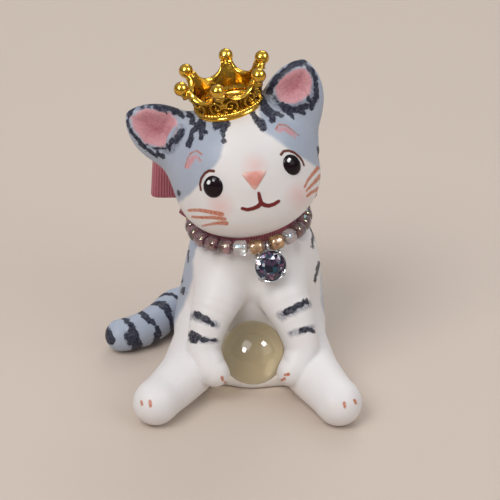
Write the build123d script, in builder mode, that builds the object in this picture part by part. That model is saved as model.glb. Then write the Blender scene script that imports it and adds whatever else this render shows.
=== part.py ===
from build123d import *
import math
import os

os.makedirs("parts", exist_ok=True)

# ---------------------------------------------------------------------------
# Driving dimensions, millimetres and degrees.
# +Z up, the cat faces -Y, origin at the centre of the torso's flat underside.
# "left" and "right" are the cat's own sides: left is +X, right is -X.
# ---------------------------------------------------------------------------

# Torso: ellipses stacked up the body as (height, centre x, centre y, half width, half depth)
torso_sections = [
    (0.0, 0.0, 0.6, 10.6, 7.0),
    (2.5, 0.0, 0.6, 11.8, 7.7),
    (8.0, 0.0, 0.4, 11.9, 7.8),
    (14.0, 0.2, -0.1, 11.1, 7.8),
    (19.0, 0.5, -0.6, 10.3, 8.0),
    (22.0, 0.5, -0.9, 9.6, 8.2),
    (23.6, 0.3, -1.0, 8.6, 7.8),
]
lap_sections = [
    (0.0, 0.4, -5.6, 7.6, 5.8),
    (2.2, 0.4, -5.4, 7.6, 5.8),
    (4.6, 0.4, -4.8, 6.0, 4.6),
]

# Neck, leaning a little; the necklace turns about its axis
neck_origin = (-0.2, -1.0, 25.0)
neck_tilt = 5.0
neck_radius = 7.0
neck_below = 5.0
neck_above = 3.6
necklace_clearance = 0.30

# Head: egg on a leaning axis, ellipses stacked as a super-ellipse. The places of the
# ears, face and crown are given for a head of drawn_head's half width, half depth and
# height above its centre, and spread with the real head.
drawn_head = (11.3, 9.8, 12.9)
head_centre = (-0.34, -2.5, 32.75)
head_roll = 14.0
head_pitch = 7.0
head_half_width = 11.3
head_half_depth = 9.8
head_above = 12.9
head_below = 8.2
head_exponent = 2.3
head_widening = 0.06
head_levels = [-0.994, -0.95, -0.86, -0.68, -0.4, 0.0, 0.4, 0.68, 0.86, 0.95, 0.994]

# Inner pin that keeps the head on the neck
peg_radius = 1.2
peg_length = 14.0
peg_centre_height = 25.5

# Ears: base centre, tip, and half width / half thickness at fractions of the height
ear_right_base = (-10.4, -1.4, 38.4)
ear_right_tip = (-18.6, -1.0, 43.4)
ear_left_base = (5.7, -1.3, 42.5)
ear_left_tip = (8.0, -0.6, 52.0)
ear_profile = [
    (-0.30, 5.5, 2.6),
    (0.00, 5.0, 2.4),
    (0.30, 4.4, 2.1),
    (0.55, 3.5, 1.7),
    (0.78, 2.4, 1.3),
    (0.92, 1.5, 0.9),
    (1.00, 0.5, 0.4),
]
ear_scoop_radius = 4.4
ear_scoop_depth = 0.9
ear_scoop_fraction = 0.42

# Face, in the head's own axes (x to its left, y backwards, z up)
eye_radius = 1.75
eye_proud = 0.75
eye_right_at = (-4.17, -8.96, 3.38)
eye_left_at = (7.88, -6.89, 3.31)
nose_at = (2.23, -9.41, 3.55)
nose_radius = 1.9
nose_proud = 0.65

# Limbs: (x, y, z, radius) along each centre line, round at the free end
hind_leg_right_line = [
    (-4.9, 0.5, 5.2, 4.9),
    (-7.0, -5.5, 4.9, 5.1),
    (-9.4, -12.2, 4.4, 4.8),
    (-13.3, -19.1, 3.4, 3.7),
    (-14.9, -22.4, 3.1, 3.1),
]
hind_leg_left_line = [
    (4.6, -0.4, 5.4, 4.8),
    (7.0, -5.5, 4.9, 5.1),
    (9.2, -12.2, 4.4, 4.9),
    (12.5, -19.1, 3.5, 3.8),
    (14.0, -22.6, 3.2, 3.2),
]
foreleg_right_line = [
    (-3.4, -3.1, 19.0, 3.1),
    (-5.4, -7.3, 15.9, 3.3),
    (-6.6, -9.9, 12.0, 2.8),
    (-6.5, -11.8, 8.2, 2.45),
    (-5.3, -13.1, 4.7, 2.4),
    (-4.1, -13.7, 2.8, 2.3),
]
foreleg_left_line = [
    (3.8, -2.9, 19.2, 3.2),
    (6.0, -7.3, 15.9, 3.4),
    (7.2, -9.9, 12.0, 2.9),
    (7.3, -11.8, 8.2, 2.5),
    (6.3, -13.1, 4.9, 2.45),
    (5.2, -13.7, 3.2, 2.3),
]
tail_line = [
    (-3.5, 4.0, 4.4, 2.5),
    (-8.2, 9.6, 3.6, 2.6),
    (-12.4, 9.4, 3.1, 2.7),
    (-14.6, 5.4, 2.8, 2.8),
    (-17.2, 2.2, 2.8, 2.8),
    (-20.3, 0.5, 2.8, 2.75),
    (-23.4, -0.2, 2.8, 2.7),
]
limb_stations = 7
tip_angles = [14.0, 34.0, 54.0, 72.0]

# Glass ball held in the lap
ball_radius = 5.0
ball_centre = (0.5, -11.3, 7.0)

# Crown: cast metal, six scalloped points with a ball on each
crown_centre = (-2.95, -1.0, 44.2)
crown_lean = 12.5
crown_pitch = 2.0
crown_points = 6
crown_first_point = -94.0
crown_base_radius = 4.7
crown_base_height = 1.4
crown_waist_radius = 4.2
crown_rim_radius = 6.5
crown_wall = 0.55
crown_ball_radius = 1.0
crown_ball_ring = 6.8
crown_ball_height = 5.8
crown_rim_height = 6.0
crown_notch_radius = 2.1

# Ribbon: 10 mm grosgrain, folded narrow round the neck, bow at the nape
ribbon_thickness = 0.30
ribbon_width = 10.0
band_height = 3.0
band_rise = 1.2
link_rise = 2.2
link_width = 2.4
link_height = 1.0
knot_size = (4.2, 5.0, 5.4)
knot_behind_neck = 6.0
knot_centre = (-2.6, neck_origin[1] + neck_radius + knot_behind_neck, 26.9)
loop_length = 13.2
loop_depth = 3.6
loop_rise = 0.6
ribbon_tail_length = 13.0
ribbon_tail_spread = 24.0
ribbon_tail_depths = (1.85, 2.25)

# Necklace: beads strung on a thread round the neck
thread_radius = 0.15
bead_count = 23
bead_radius = 1.2
thread_ring_radius = neck_radius + ribbon_thickness + necklace_clearance + bead_radius
bead_length = 2.1
bead_edge = 0.55
bead_hole_radius = 0.20
bail_angle = 18.0
bail_gap_angle = 6.0

# Pendant: round stone in a four-prong setting, hanging from a soldered bail ring
bail_inner_below_bead = 0.78
bail_inner_radius = bead_radius - bail_inner_below_bead
bail_wire_radius = 0.15
bail_clearance = 0.08
pendant_hang_angle = 70.0
stone_radius = 2.3
stone_crown_height = 0.65
stone_table_radius = 1.25
stone_depth = 1.15
setting_radius = 2.5
setting_back = 1.35
setting_front = 0.12
setting_clearance = 0.59
prong_radius = 0.28
prong_count = 4
prong_height = 0.45
solder_overlap = 0.10


# ---------------------------------------------------------------------------
# Helpers
# ---------------------------------------------------------------------------
def between(first, second, fraction):
    """Point a fraction of the way from one 3-D point to another."""
    return tuple(a + (b - a) * fraction for a, b in zip(first, second))


def leaning_plane(origin, roll, pitch):
    """Plane whose normal leans towards -X by roll and towards +Y by pitch."""
    r = math.radians(roll)
    p = math.radians(pitch)
    normal = (-math.sin(r) * math.cos(p), math.sin(p), math.cos(r) * math.cos(p))
    return Plane(origin=origin, x_dir=(math.cos(r), 0, math.sin(r)), z_dir=normal)


def on_head(place):
    """A place drawn in the head's own axes, spread with the head's real size."""
    real_head = (head_half_width, head_half_depth, head_above)
    return tuple(value * real / drawn for value, real, drawn in zip(place, real_head, drawn_head))


def beside_head(place):
    """The same for a place that was drawn in the cat's frame."""
    local = head_plane.to_local_coords(Vector(*place))
    return head_plane.from_local_coords(Vector(*on_head((local.X, local.Y, local.Z))))


def turned(plane, angle):
    """The same plane with its x direction turned about its own normal."""
    a = math.radians(angle)
    return Plane(
        origin=plane.origin,
        x_dir=plane.x_dir * math.cos(a) + plane.y_dir * math.sin(a),
        z_dir=plane.z_dir,
    )


def ellipses(sections):
    """Sketches of ellipses given as (height, centre x, centre y, half width, half depth)."""
    sketches = []
    for height, x, y, half_width, half_depth in sections:
        with BuildSketch(Plane.XY.offset(height)) as outline:
            with Locations((x, y)):
                Ellipse(half_width, half_depth)
        sketches.append(outline.sketch)
    return sketches


def radius_along(line, fraction):
    """Radius at a fraction of a limb's length, eased between the radii of its stations."""
    steps = [math.dist(a[:3], b[:3]) for a, b in zip(line, line[1:])]
    travelled = fraction * sum(steps)
    index = 0
    while index < len(steps) - 1 and travelled > steps[index]:
        travelled -= steps[index]
        index += 1
    share = min(travelled / steps[index], 1.0)
    share = share * share * (3 - 2 * share)
    return line[index][3] * (1 - share) + line[index + 1][3] * share


def limb(line):
    """Round sections along a curved centre line, closing the far end like a dome."""
    path = Spline([station[:3] for station in line], mode=Mode.PRIVATE)
    tip_radius = line[-1][3]
    dome_start = 1 - tip_radius / path.length
    stations = []
    for step in range(limb_stations + 1):
        along = dome_start * step / limb_stations
        stations.append((along, radius_along(line, along)))
    for angle in tip_angles:
        along = dome_start + (1 - dome_start) * math.sin(math.radians(angle))
        stations.append((along, tip_radius * math.cos(math.radians(angle))))
    sketches = []
    side = (path % 0).cross(Vector(0, 0, 1))
    for along, radius in stations:
        direction = path % along
        side = (side - direction * side.dot(direction)).normalized()
        with BuildSketch(Plane(origin=path @ along, x_dir=side, z_dir=direction)) as outline:
            Circle(radius)
        sketches.append(outline.sketch)
    return sketches


def write(builder, label):
    """Name one finished sub-part and write its STEP file."""
    builder.part.label = label
    export_step(builder.part, f"parts/{label}.step")


head_plane = leaning_plane(head_centre, head_roll, head_pitch)
crown_plane = leaning_plane(beside_head(crown_centre), crown_lean, crown_pitch)
neck_plane = leaning_plane(neck_origin, neck_tilt, 0.0)

# ---------------------------------------------------------------------------
# Raw clay forms, before they are cut to meet each other face to face
# ---------------------------------------------------------------------------
with BuildPart() as head_form:
    for level in head_levels:
        squeeze = (1 - abs(level) ** head_exponent) ** (1 / head_exponent)
        height = level * (head_above if level > 0 else head_below)
        with BuildSketch(head_plane.offset(height)):
            Ellipse(
                head_half_width * squeeze * (1 + head_widening * level),
                head_half_depth * squeeze * (1 + head_widening * level / 2),
            )
    loft()
    with Locations(neck_plane):
        Torus(thread_ring_radius, bead_radius + necklace_clearance, mode=Mode.SUBTRACT)

with BuildPart() as ball_form:
    with Locations(ball_centre):
        Sphere(ball_radius)

with BuildPart() as peg_form:
    with Locations((neck_origin[0], neck_origin[1], peg_centre_height)):
        Cylinder(peg_radius, peg_length)

# ---------------------------------------------------------------------------
# Torso: body, lap and neck in one piece of clay
# ---------------------------------------------------------------------------
pendant_reach = math.radians(pendant_hang_angle)
pendant_back = setting_back + necklace_clearance
bail_drop = bail_inner_radius - thread_radius - bail_clearance
bail_lowest = bail_drop + bail_inner_radius + 2 * bail_wire_radius
stone_drop = bail_lowest - solder_overlap + setting_radius
pendant_lowest = stone_drop + setting_radius + setting_clearance
shoulder_edge = thread_ring_radius + 3.7
shoulder_profile = [
    (neck_radius, -1.5),
    (neck_radius + 1.6, -2.2),
    (shoulder_edge, -3.0),
    (shoulder_edge, neck_above + 1),
    (neck_radius, neck_above + 1),
]
pendant_profile = [
    (thread_ring_radius - pendant_back * math.sin(pendant_reach) - 0.1, -1.2),
    (
        thread_ring_radius - pendant_back * math.sin(pendant_reach)
        + pendant_lowest * math.cos(pendant_reach),
        -pendant_lowest,
    ),
    (shoulder_edge, -pendant_lowest - 0.8),
    (shoulder_edge, -1.2),
]
with BuildPart() as torso_form:
    loft(ellipses(torso_sections))
    loft(ellipses(lap_sections))
    with BuildSketch(neck_plane.offset(-neck_below)):
        Circle(neck_radius)
    extrude(amount=neck_below + neck_above)
    for profile, first_angle, sweep in (
        (shoulder_profile, 0, 360),
        (pendant_profile, bail_angle - 37, 74),
    ):
        start = turned(neck_plane, -90 + first_angle)
        with BuildSketch(Plane(origin=start.origin, x_dir=start.x_dir, z_dir=-start.y_dir)):
            with BuildLine():
                Polyline(*profile, close=True)
            make_face()
        revolve(
            axis=Axis(neck_plane.origin, neck_plane.z_dir),
            revolution_arc=sweep,
            mode=Mode.SUBTRACT,
        )

with BuildPart() as torso:
    add(torso_form.part)
    for other in (head_form, ball_form, peg_form):
        add(other.part, mode=Mode.SUBTRACT)
write(torso, "torso")

with BuildPart() as neck_peg:
    add(peg_form.part)
write(neck_peg, "neck_peg")

# ---------------------------------------------------------------------------
# Legs and tail, each one roll of clay pressed against its neighbours
# ---------------------------------------------------------------------------
with BuildPart() as below_ground:
    with Locations((0, 0, -10)):
        Box(90, 90, 20)

hind_leg_forms = []
for label, line in (("hind_leg_right", hind_leg_right_line), ("hind_leg_left", hind_leg_left_line)):
    with BuildPart() as hind_leg_form:
        loft(limb(line))
    hind_leg_forms.append(hind_leg_form)
    with BuildPart() as hind_leg:
        add(hind_leg_form.part)
        for other in (torso_form, ball_form, below_ground):
            add(other.part, mode=Mode.SUBTRACT)
    write(hind_leg, label)

for label, line in (("foreleg_right", foreleg_right_line), ("foreleg_left", foreleg_left_line)):
    with BuildPart() as foreleg:
        loft(limb(line))
        for other in [torso_form, ball_form] + hind_leg_forms:
            add(other.part, mode=Mode.SUBTRACT)
    write(foreleg, label)

with BuildPart() as tail:
    loft(limb(tail_line))
    for other in [torso_form, below_ground] + hind_leg_forms:
        add(other.part, mode=Mode.SUBTRACT)
write(tail, "tail")

# ---------------------------------------------------------------------------
# Head, ears and face
# ---------------------------------------------------------------------------
with BuildPart() as head:
    add(head_form.part)
    add(peg_form.part, mode=Mode.SUBTRACT)
write(head, "head")

ear_forms = []
for label, base, tip in (
    ("ear_right", beside_head(ear_right_base), beside_head(ear_right_tip)),
    ("ear_left", beside_head(ear_left_base), beside_head(ear_left_tip)),
):
    axis = Vector(*tip) - Vector(*base)
    across = Vector(0, 1, 0).cross(axis)
    with BuildPart() as ear:
        for fraction, half_width, half_thickness in ear_profile:
            where = between(base, tip, fraction)
            with BuildSketch(Plane(origin=where, x_dir=across, z_dir=axis)):
                Ellipse(half_width, half_thickness)
        loft()
        hollow = Vector(*between(base, tip, ear_scoop_fraction))
        hollow += Vector(0, -ear_scoop_radius - 1.7 + ear_scoop_depth, 0)
        with Locations(hollow):
            Sphere(ear_scoop_radius, mode=Mode.SUBTRACT)
        add(head_form.part, mode=Mode.SUBTRACT)
    ear_forms.append(ear)
    write(ear, label)

for label, place, radius, proud in (
    ("eye_right", eye_right_at, eye_radius, eye_proud),
    ("eye_left", eye_left_at, eye_radius, eye_proud),
    ("nose", nose_at, nose_radius, nose_proud),
):
    surface = Vector(*on_head(place))
    outward = Vector(surface.X, surface.Y, 0).normalized()
    sunk = surface - outward * (radius - proud)
    with BuildPart() as feature:
        with Locations(head_plane.from_local_coords(sunk)):
            Sphere(radius)
        add(head_form.part, mode=Mode.SUBTRACT)
    write(feature, label)

# ---------------------------------------------------------------------------
# Glass ball
# ---------------------------------------------------------------------------
with BuildPart() as crystal_ball:
    add(ball_form.part)
write(crystal_ball, "crystal_ball")

# ---------------------------------------------------------------------------
# Crown: ring, flared wall notched between the points, and a ball on each point
# ---------------------------------------------------------------------------
point_step = 360 / crown_points
crown_side = Plane(origin=crown_plane.origin, x_dir=crown_plane.x_dir, z_dir=-crown_plane.y_dir)
with BuildPart() as crown:
    with BuildSketch(crown_side):
        with BuildLine():
            Polyline(
                (crown_base_radius - crown_wall - 0.3, 0),
                (crown_base_radius, 0),
                (crown_base_radius + 0.15, crown_base_height / 2),
                (crown_base_radius - 0.1, crown_base_height),
                (crown_waist_radius, crown_base_height + 0.4),
                (crown_waist_radius + 1.0, 3.6),
                (crown_rim_radius, crown_rim_height),
                (crown_rim_radius - crown_wall, crown_rim_height + 0.1),
                (crown_waist_radius + 1.0 - crown_wall, 3.7),
                (crown_waist_radius - crown_wall, crown_base_height + 0.4),
                close=True,
            )
        make_face()
    revolve(axis=Axis(crown_plane.origin, crown_plane.z_dir))
    for index in range(crown_points):
        gap_angle = crown_first_point + point_step * (index + 0.5)
        notch = turned(crown_plane, gap_angle)
        notch_face = Plane(origin=notch.origin, x_dir=notch.y_dir, z_dir=notch.x_dir)
        with BuildSketch(notch_face):
            with Locations((0, crown_rim_height + 0.3)):
                Circle(crown_notch_radius)
        extrude(amount=crown_rim_radius + 1, mode=Mode.SUBTRACT)
    with Locations(crown_plane.offset(crown_ball_height)):
        with PolarLocations(crown_ball_ring, crown_points, start_angle=crown_first_point):
            Sphere(crown_ball_radius)
    for other in [head_form] + ear_forms:
        add(other.part, mode=Mode.SUBTRACT)
write(crown, "crown")

# ---------------------------------------------------------------------------
# Ribbon: band round the neck, knot, two loops and two tails
# ---------------------------------------------------------------------------
with BuildPart() as ribbon_band:
    with BuildSketch(neck_plane.offset(band_rise - band_height / 2)):
        Circle(neck_radius + ribbon_thickness)
        Circle(neck_radius, mode=Mode.SUBTRACT)
    extrude(amount=band_height)
    add(head_form.part, mode=Mode.SUBTRACT)
write(ribbon_band, "ribbon_band")

bow_plane = Plane(origin=knot_centre)
with BuildPart() as knot_form:
    with BuildSketch(bow_plane.offset(-knot_size[2] / 2)):
        RectangleRounded(knot_size[0], knot_size[1], 1.2)
    extrude(amount=knot_size[2])
    reach = knot_centre[1] - neck_origin[1] - neck_radius
    with Locations((knot_centre[0], knot_centre[1] - reach / 2, neck_origin[2] + link_rise)):
        Box(link_width, reach, link_height)
with BuildPart() as ribbon_knot:
    add(knot_form.part)
    for other in (torso, ribbon_band, head_form):
        add(other.part, mode=Mode.SUBTRACT)
write(ribbon_knot, "ribbon_knot")

for label, side in (("bow_loop_right", -1), ("bow_loop_left", 1)):
    level = bow_plane.offset(loop_rise - ribbon_width / 2)
    with BuildPart() as bow_loop:
        with BuildSketch(level):
            for grow, mode in ((ribbon_thickness / 2, Mode.ADD), (-ribbon_thickness / 2, Mode.SUBTRACT)):
                with BuildLine():
                    Spline(
                        (side * (1.2 - grow), 0),
                        (side * loop_length * 0.45, loop_depth * 0.42 + grow),
                        (side * loop_length * 0.85, loop_depth * 0.42 + grow),
                        (side * (loop_length + grow), 0),
                        (side * loop_length * 0.85, -loop_depth * 0.42 - grow),
                        (side * loop_length * 0.45, -loop_depth * 0.42 - grow),
                        (side * (1.2 - grow), 0),
                    )
                make_face(mode=mode)
        extrude(amount=ribbon_width)
        add(knot_form.part, mode=Mode.SUBTRACT)
    write(bow_loop, label)

for label, side, depth in (
    ("ribbon_tail_right", -1, ribbon_tail_depths[0]),
    ("ribbon_tail_left", 1, ribbon_tail_depths[1]),
):
    sheet_origin = (knot_centre[0], knot_centre[1] + depth, knot_centre[2])
    sheet = turned(Plane(origin=sheet_origin, x_dir=(1, 0, 0), z_dir=(0, -1, 0)), side * ribbon_tail_spread)
    with BuildPart() as ribbon_tail:
        with BuildSketch(sheet):
            with Locations((0, -ribbon_tail_length / 2)):
                Rectangle(ribbon_width * 0.62, ribbon_tail_length)
        extrude(amount=ribbon_thickness / 2, both=True)
        add(knot_form.part, mode=Mode.SUBTRACT)
    write(ribbon_tail, label)

# ---------------------------------------------------------------------------
# Necklace: thread and its beads
# ---------------------------------------------------------------------------
with BuildPart() as necklace_thread:
    with Locations(neck_plane):
        Torus(thread_ring_radius, thread_radius)
write(necklace_thread, "necklace_thread")

bead_step = (360 - bail_gap_angle) / bead_count
for index in range(bead_count):
    angle = -90 + bail_angle + bail_gap_angle / 2 + bead_step * (index + 0.5)
    radial = turned(neck_plane, angle)
    place = radial.origin + radial.x_dir * thread_ring_radius
    with BuildPart() as bead:
        with BuildSketch(Plane(origin=place, x_dir=radial.x_dir, z_dir=radial.y_dir)):
            Circle(bead_radius)
        extrude(amount=bead_length / 2, both=True)
        fillet(bead.edges(), bead_edge)
        with BuildSketch(Plane(origin=place, x_dir=radial.x_dir, z_dir=radial.y_dir)):
            Circle(bead_hole_radius)
        extrude(amount=bead_length, both=True, mode=Mode.SUBTRACT)
    write(bead, f"bead_{index + 1:02d}")

# ---------------------------------------------------------------------------
# Pendant: bail ring round the thread, prong setting and stone
# ---------------------------------------------------------------------------
bail_radial = turned(neck_plane, -90 + bail_angle)
hinge_point = bail_radial.origin + bail_radial.x_dir * thread_ring_radius
hang_dir = (
    bail_radial.x_dir * math.cos(pendant_reach) - bail_radial.z_dir * math.sin(pendant_reach)
)
face_dir = (
    bail_radial.x_dir * math.sin(pendant_reach) + bail_radial.z_dir * math.cos(pendant_reach)
)
stone_point = hinge_point + hang_dir * stone_drop
stone_plane = Plane(origin=stone_point, x_dir=bail_radial.y_dir, z_dir=face_dir)

with BuildPart() as stone:
    with BuildSketch(stone_plane.offset(-stone_depth)):
        RegularPolygon(0.35, 12)
    with BuildSketch(stone_plane.offset(-0.08)):
        RegularPolygon(stone_radius, 12)
    loft(ruled=True)
    with BuildSketch(stone_plane.offset(-0.08)):
        RegularPolygon(stone_radius, 12)
    extrude(amount=0.16)
    with BuildSketch(stone_plane.offset(0.08)):
        RegularPolygon(stone_radius, 12)
    with BuildSketch(stone_plane.offset(stone_crown_height)):
        RegularPolygon(stone_table_radius, 12)
    loft(ruled=True)
write(stone, "pendant_stone")

with BuildPart() as setting:
    with BuildSketch(stone_plane.offset(-setting_back)):
        Circle(setting_radius - 0.5)
    with BuildSketch(stone_plane.offset(setting_front)):
        Circle(setting_radius)
    loft()
    for index in range(prong_count):
        turn = turned(stone_plane, 360 * (index + 0.5) / prong_count)
        foot = turn.origin + turn.x_dir * setting_radius
        with BuildSketch(Plane(origin=foot, x_dir=turn.x_dir, z_dir=turn.z_dir)):
            Circle(prong_radius)
        extrude(amount=prong_height)
        with Locations(foot - turn.x_dir * prong_radius + turn.z_dir * prong_height):
            Sphere(prong_radius)
    add(stone.part, mode=Mode.SUBTRACT)
    with BuildSketch(stone_plane.offset(setting_front)):
        Circle(stone_radius - 0.25)
    extrude(amount=-setting_front - 0.3, mode=Mode.SUBTRACT)
write(setting, "pendant_setting")

bail_plane = Plane(
    origin=hinge_point + hang_dir * bail_drop,
    x_dir=hang_dir,
    z_dir=bail_radial.y_dir,
)
with BuildPart() as bail:
    with Locations(bail_plane):
        Torus(bail_inner_radius + bail_wire_radius, bail_wire_radius)
    add(setting.part, mode=Mode.SUBTRACT)
write(bail, "pendant_bail")
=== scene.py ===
# %% [markdown]
# # A little clay cat with a crown, beads, a bow and a glass ball
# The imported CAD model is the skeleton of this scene: every piece below is built in the same axes
# (+Z up, the cat faces -Y, its own left is +X) and in the same place, so nothing needs fitting.
# Shapes are worked out in millimetres, because that is how the maker would measure them, and
# are turned into metres only when they become a mesh.

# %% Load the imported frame
import math
import bpy
import numpy as np
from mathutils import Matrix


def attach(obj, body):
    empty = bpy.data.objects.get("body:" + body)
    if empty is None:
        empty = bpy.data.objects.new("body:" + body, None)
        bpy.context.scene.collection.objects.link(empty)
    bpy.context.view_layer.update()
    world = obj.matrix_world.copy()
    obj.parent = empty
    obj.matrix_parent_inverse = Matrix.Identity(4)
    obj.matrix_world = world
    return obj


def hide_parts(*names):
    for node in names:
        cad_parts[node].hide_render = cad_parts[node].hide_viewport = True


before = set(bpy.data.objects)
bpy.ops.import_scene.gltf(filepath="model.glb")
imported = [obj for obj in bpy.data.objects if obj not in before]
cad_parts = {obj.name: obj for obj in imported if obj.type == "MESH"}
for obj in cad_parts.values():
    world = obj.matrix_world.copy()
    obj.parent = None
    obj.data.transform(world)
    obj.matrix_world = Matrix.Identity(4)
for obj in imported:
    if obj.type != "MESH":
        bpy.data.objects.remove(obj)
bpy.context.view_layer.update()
MM = 0.001

# %% [markdown]
# ## The camera
# The figure is looked at from the front and thirty degrees above, from a hand's length away with
# a long lens. A camera looks along its own -Z, so tipping it up by sixty degrees about X makes
# it look down at thirty.

# %% Camera
VIEW_TILT = math.radians(30)
VIEW_DISTANCE = 280.0
VIEW_TARGET = np.array([0.0, -6.5, 22.7])
view_back = np.array([0.0, -math.cos(VIEW_TILT), math.sin(VIEW_TILT)])
view_up = np.array([0.0, math.sin(VIEW_TILT), math.cos(VIEW_TILT)])
view_eye = VIEW_TARGET + VIEW_DISTANCE * view_back

camera_data = bpy.data.cameras.new("camera")
camera_data.sensor_width = 36.0
camera_data.lens = 131.04
camera_data.clip_start = 0.01
camera = bpy.data.objects.new("camera", camera_data)
camera.location = view_eye * MM
camera.rotation_euler = (math.radians(60), 0, 0)
bpy.context.scene.collection.objects.link(camera)
bpy.context.scene.camera = camera
print("camera", tuple(round(v, 4) for v in camera.location))

# %% [markdown]
# ## From numbers to meshes
# Every surface here is a grid: rows run along the piece and columns go round it. The columns
# join up, and each end is closed with a fan of triangles to its middle, so the mesh is
# watertight. Whether the grid was wound inside out is read from the sign of its volume.

# %% Grid to mesh
def grid_faces(rows, columns, loop):
    """Quads between neighbouring rows and columns; columns wrap round, rows only if loop."""
    row = np.arange(rows if loop else rows - 1)[:, None]
    column = np.arange(columns)[None, :]
    next_row = (row + 1) % rows
    next_column = (column + 1) % columns
    quads = np.stack([
        row * columns + column,
        row * columns + next_column,
        next_row * columns + next_column,
        next_row * columns + column,
    ], axis=-1)
    return quads.reshape(-1, 4)


def signed_volume(points, quads):
    """Sum over faces of p0 . (p1 x p2) / 6 for both halves of each quad."""
    a, b, c, d = (points[quads[:, i]] for i in range(4))
    first = np.einsum("ij,ij->i", a, np.cross(b, c))
    second = np.einsum("ij,ij->i", a, np.cross(c, d))
    return (first.sum() + second.sum()) / 6


def grid_shell(points, loop=False):
    """Vertices and faces of one closed shell from a (rows, columns, 3) grid."""
    rows, columns = points.shape[:2]
    flat = points.reshape(-1, 3)
    quads = grid_faces(rows, columns, loop)
    ends = np.zeros((0, 3), int)
    if not loop:
        middle = len(flat)
        flat = np.vstack([flat, points[0].mean(0), points[-1].mean(0)])
        around = np.arange(columns)
        after = (around + 1) % columns
        last = (rows - 1) * columns
        start = np.stack([after, around, np.full(columns, middle)], axis=-1)
        finish = np.stack([last + around, last + after, np.full(columns, middle + 1)], axis=-1)
        ends = np.vstack([start, finish])
    if signed_volume(flat, quads) < 0:
        quads = quads[:, ::-1]
        ends = ends[:, ::-1]
    return flat, quads.tolist() + ends.tolist()


def piece(name, shells, body, material, replaces=(), values=None, smooth=True):
    """Mesh object from one or more shells, in millimetres, riding on a body of the frame."""
    points, faces, offset = [], [], 0
    for shell_points, shell_faces in shells:
        points.append(shell_points)
        faces += [[i + offset for i in face] for face in shell_faces]
        offset += len(shell_points)
    points = np.vstack(points)
    mesh = bpy.data.meshes.new(name)
    mesh.from_pydata((points * MM).tolist(), [], faces)
    for label, value in (values or {}).items():
        layer = mesh.attributes.new(label, "FLOAT", "POINT")
        layer.data.foreach_set("value", np.asarray(value, np.float32).ravel())
    mesh.polygons.foreach_set("use_smooth", [smooth] * len(mesh.polygons))
    mesh.materials.append(material)
    mesh.update()
    thing = bpy.data.objects.new(name, mesh)
    bpy.context.scene.collection.objects.link(thing)
    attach(thing, body)
    if replaces:
        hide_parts(*replaces)
    print(f"{name}: {len(points)} points, {len(faces)} faces")
    return thing


# %% [markdown]
# ## Clay as a field
# Soft clay pieces that have been pressed and smoothed together have no sharp seam. A field gives
# for every point in space roughly how far it is outside the clay (negative inside), and two
# fields are joined with a smooth minimum, which adds a little fillet where they meet. Each piece
# is then found by sending rays out from a line inside it until the field turns positive.

# %% Joining and cutting fields
def smooth_join(a, b, k):
    """min(a, b) less k h^2 / 4, where h falls from 1 to 0 as |a - b| goes from 0 to k."""
    h = np.clip(1 - np.abs(a - b) / k, 0, 1)
    return np.minimum(a, b) - 0.25 * k * h * h


def smooth_cut(a, b, k):
    """Field a with field b taken away: the smooth maximum of a and -b."""
    return -smooth_join(-a, b, k)


def ease(x):
    """0 below 0, 1 above 1, and 3x^2 - 2x^3 between."""
    x = np.clip(x, 0, 1)
    return x * x * (3 - 2 * x)


# %% The seat for the ball, the neck axis and the ring the beads run in
BALL_CENTRE = np.array([0.5, -11.3, 7.0])
BALL_RADIUS = 5.0
NECK_ORIGIN = np.array([-0.2, -1.0, 25.0])
NECK_TILT = math.radians(5)
NECK_X = np.array([math.cos(NECK_TILT), 0, math.sin(NECK_TILT)])
NECK_Y = np.array([0.0, 1.0, 0.0])
NECK_Z = np.array([-math.sin(NECK_TILT), 0, math.cos(NECK_TILT)])
NECK_RADIUS = 7.0
RING_RADIUS = 8.8
BAIL_TURN = math.radians(-90 + 18)
BEAD_RADIUS = 1.2


def in_neck_axes(points):
    """Radius from the neck's axis, height along it, and the turn round it."""
    moved = points - NECK_ORIGIN
    x, y, z = moved @ NECK_X, moved @ NECK_Y, moved @ NECK_Z
    return np.hypot(x, y), z, np.arctan2(y, x)


def ball_field(points, gap=0.03):
    """Distance outside the glass ball, grown by a hair so that clay only just touches it."""
    return np.linalg.norm(points - BALL_CENTRE, axis=-1) - BALL_RADIUS - gap


def bead_groove_field(points):
    """Distance outside the round channel that the string of beads turns in."""
    radius, height, _ = in_neck_axes(points)
    return np.hypot(radius - RING_RADIUS, height) - BEAD_RADIUS - 0.25


# %% Torso field
TORSO_HEIGHTS = np.array([0.0, 2.5, 8.0, 14.0, 19.0, 22.0, 23.6])
TORSO_X = np.polyfit(TORSO_HEIGHTS, [0.0, 0.0, 0.0, 0.2, 0.5, 0.5, 0.3], 3)
TORSO_Y = np.polyfit(TORSO_HEIGHTS, [0.6, 0.6, 0.4, -0.1, -0.6, -0.9, -1.0], 3)
TORSO_WIDE = np.polyfit(TORSO_HEIGHTS, [10.8, 11.7, 11.9, 11.1, 10.3, 9.6, 8.9], 4)
TORSO_DEEP = np.polyfit(TORSO_HEIGHTS, [7.1, 7.7, 7.8, 7.8, 8.0, 8.1, 7.9], 4)


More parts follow.
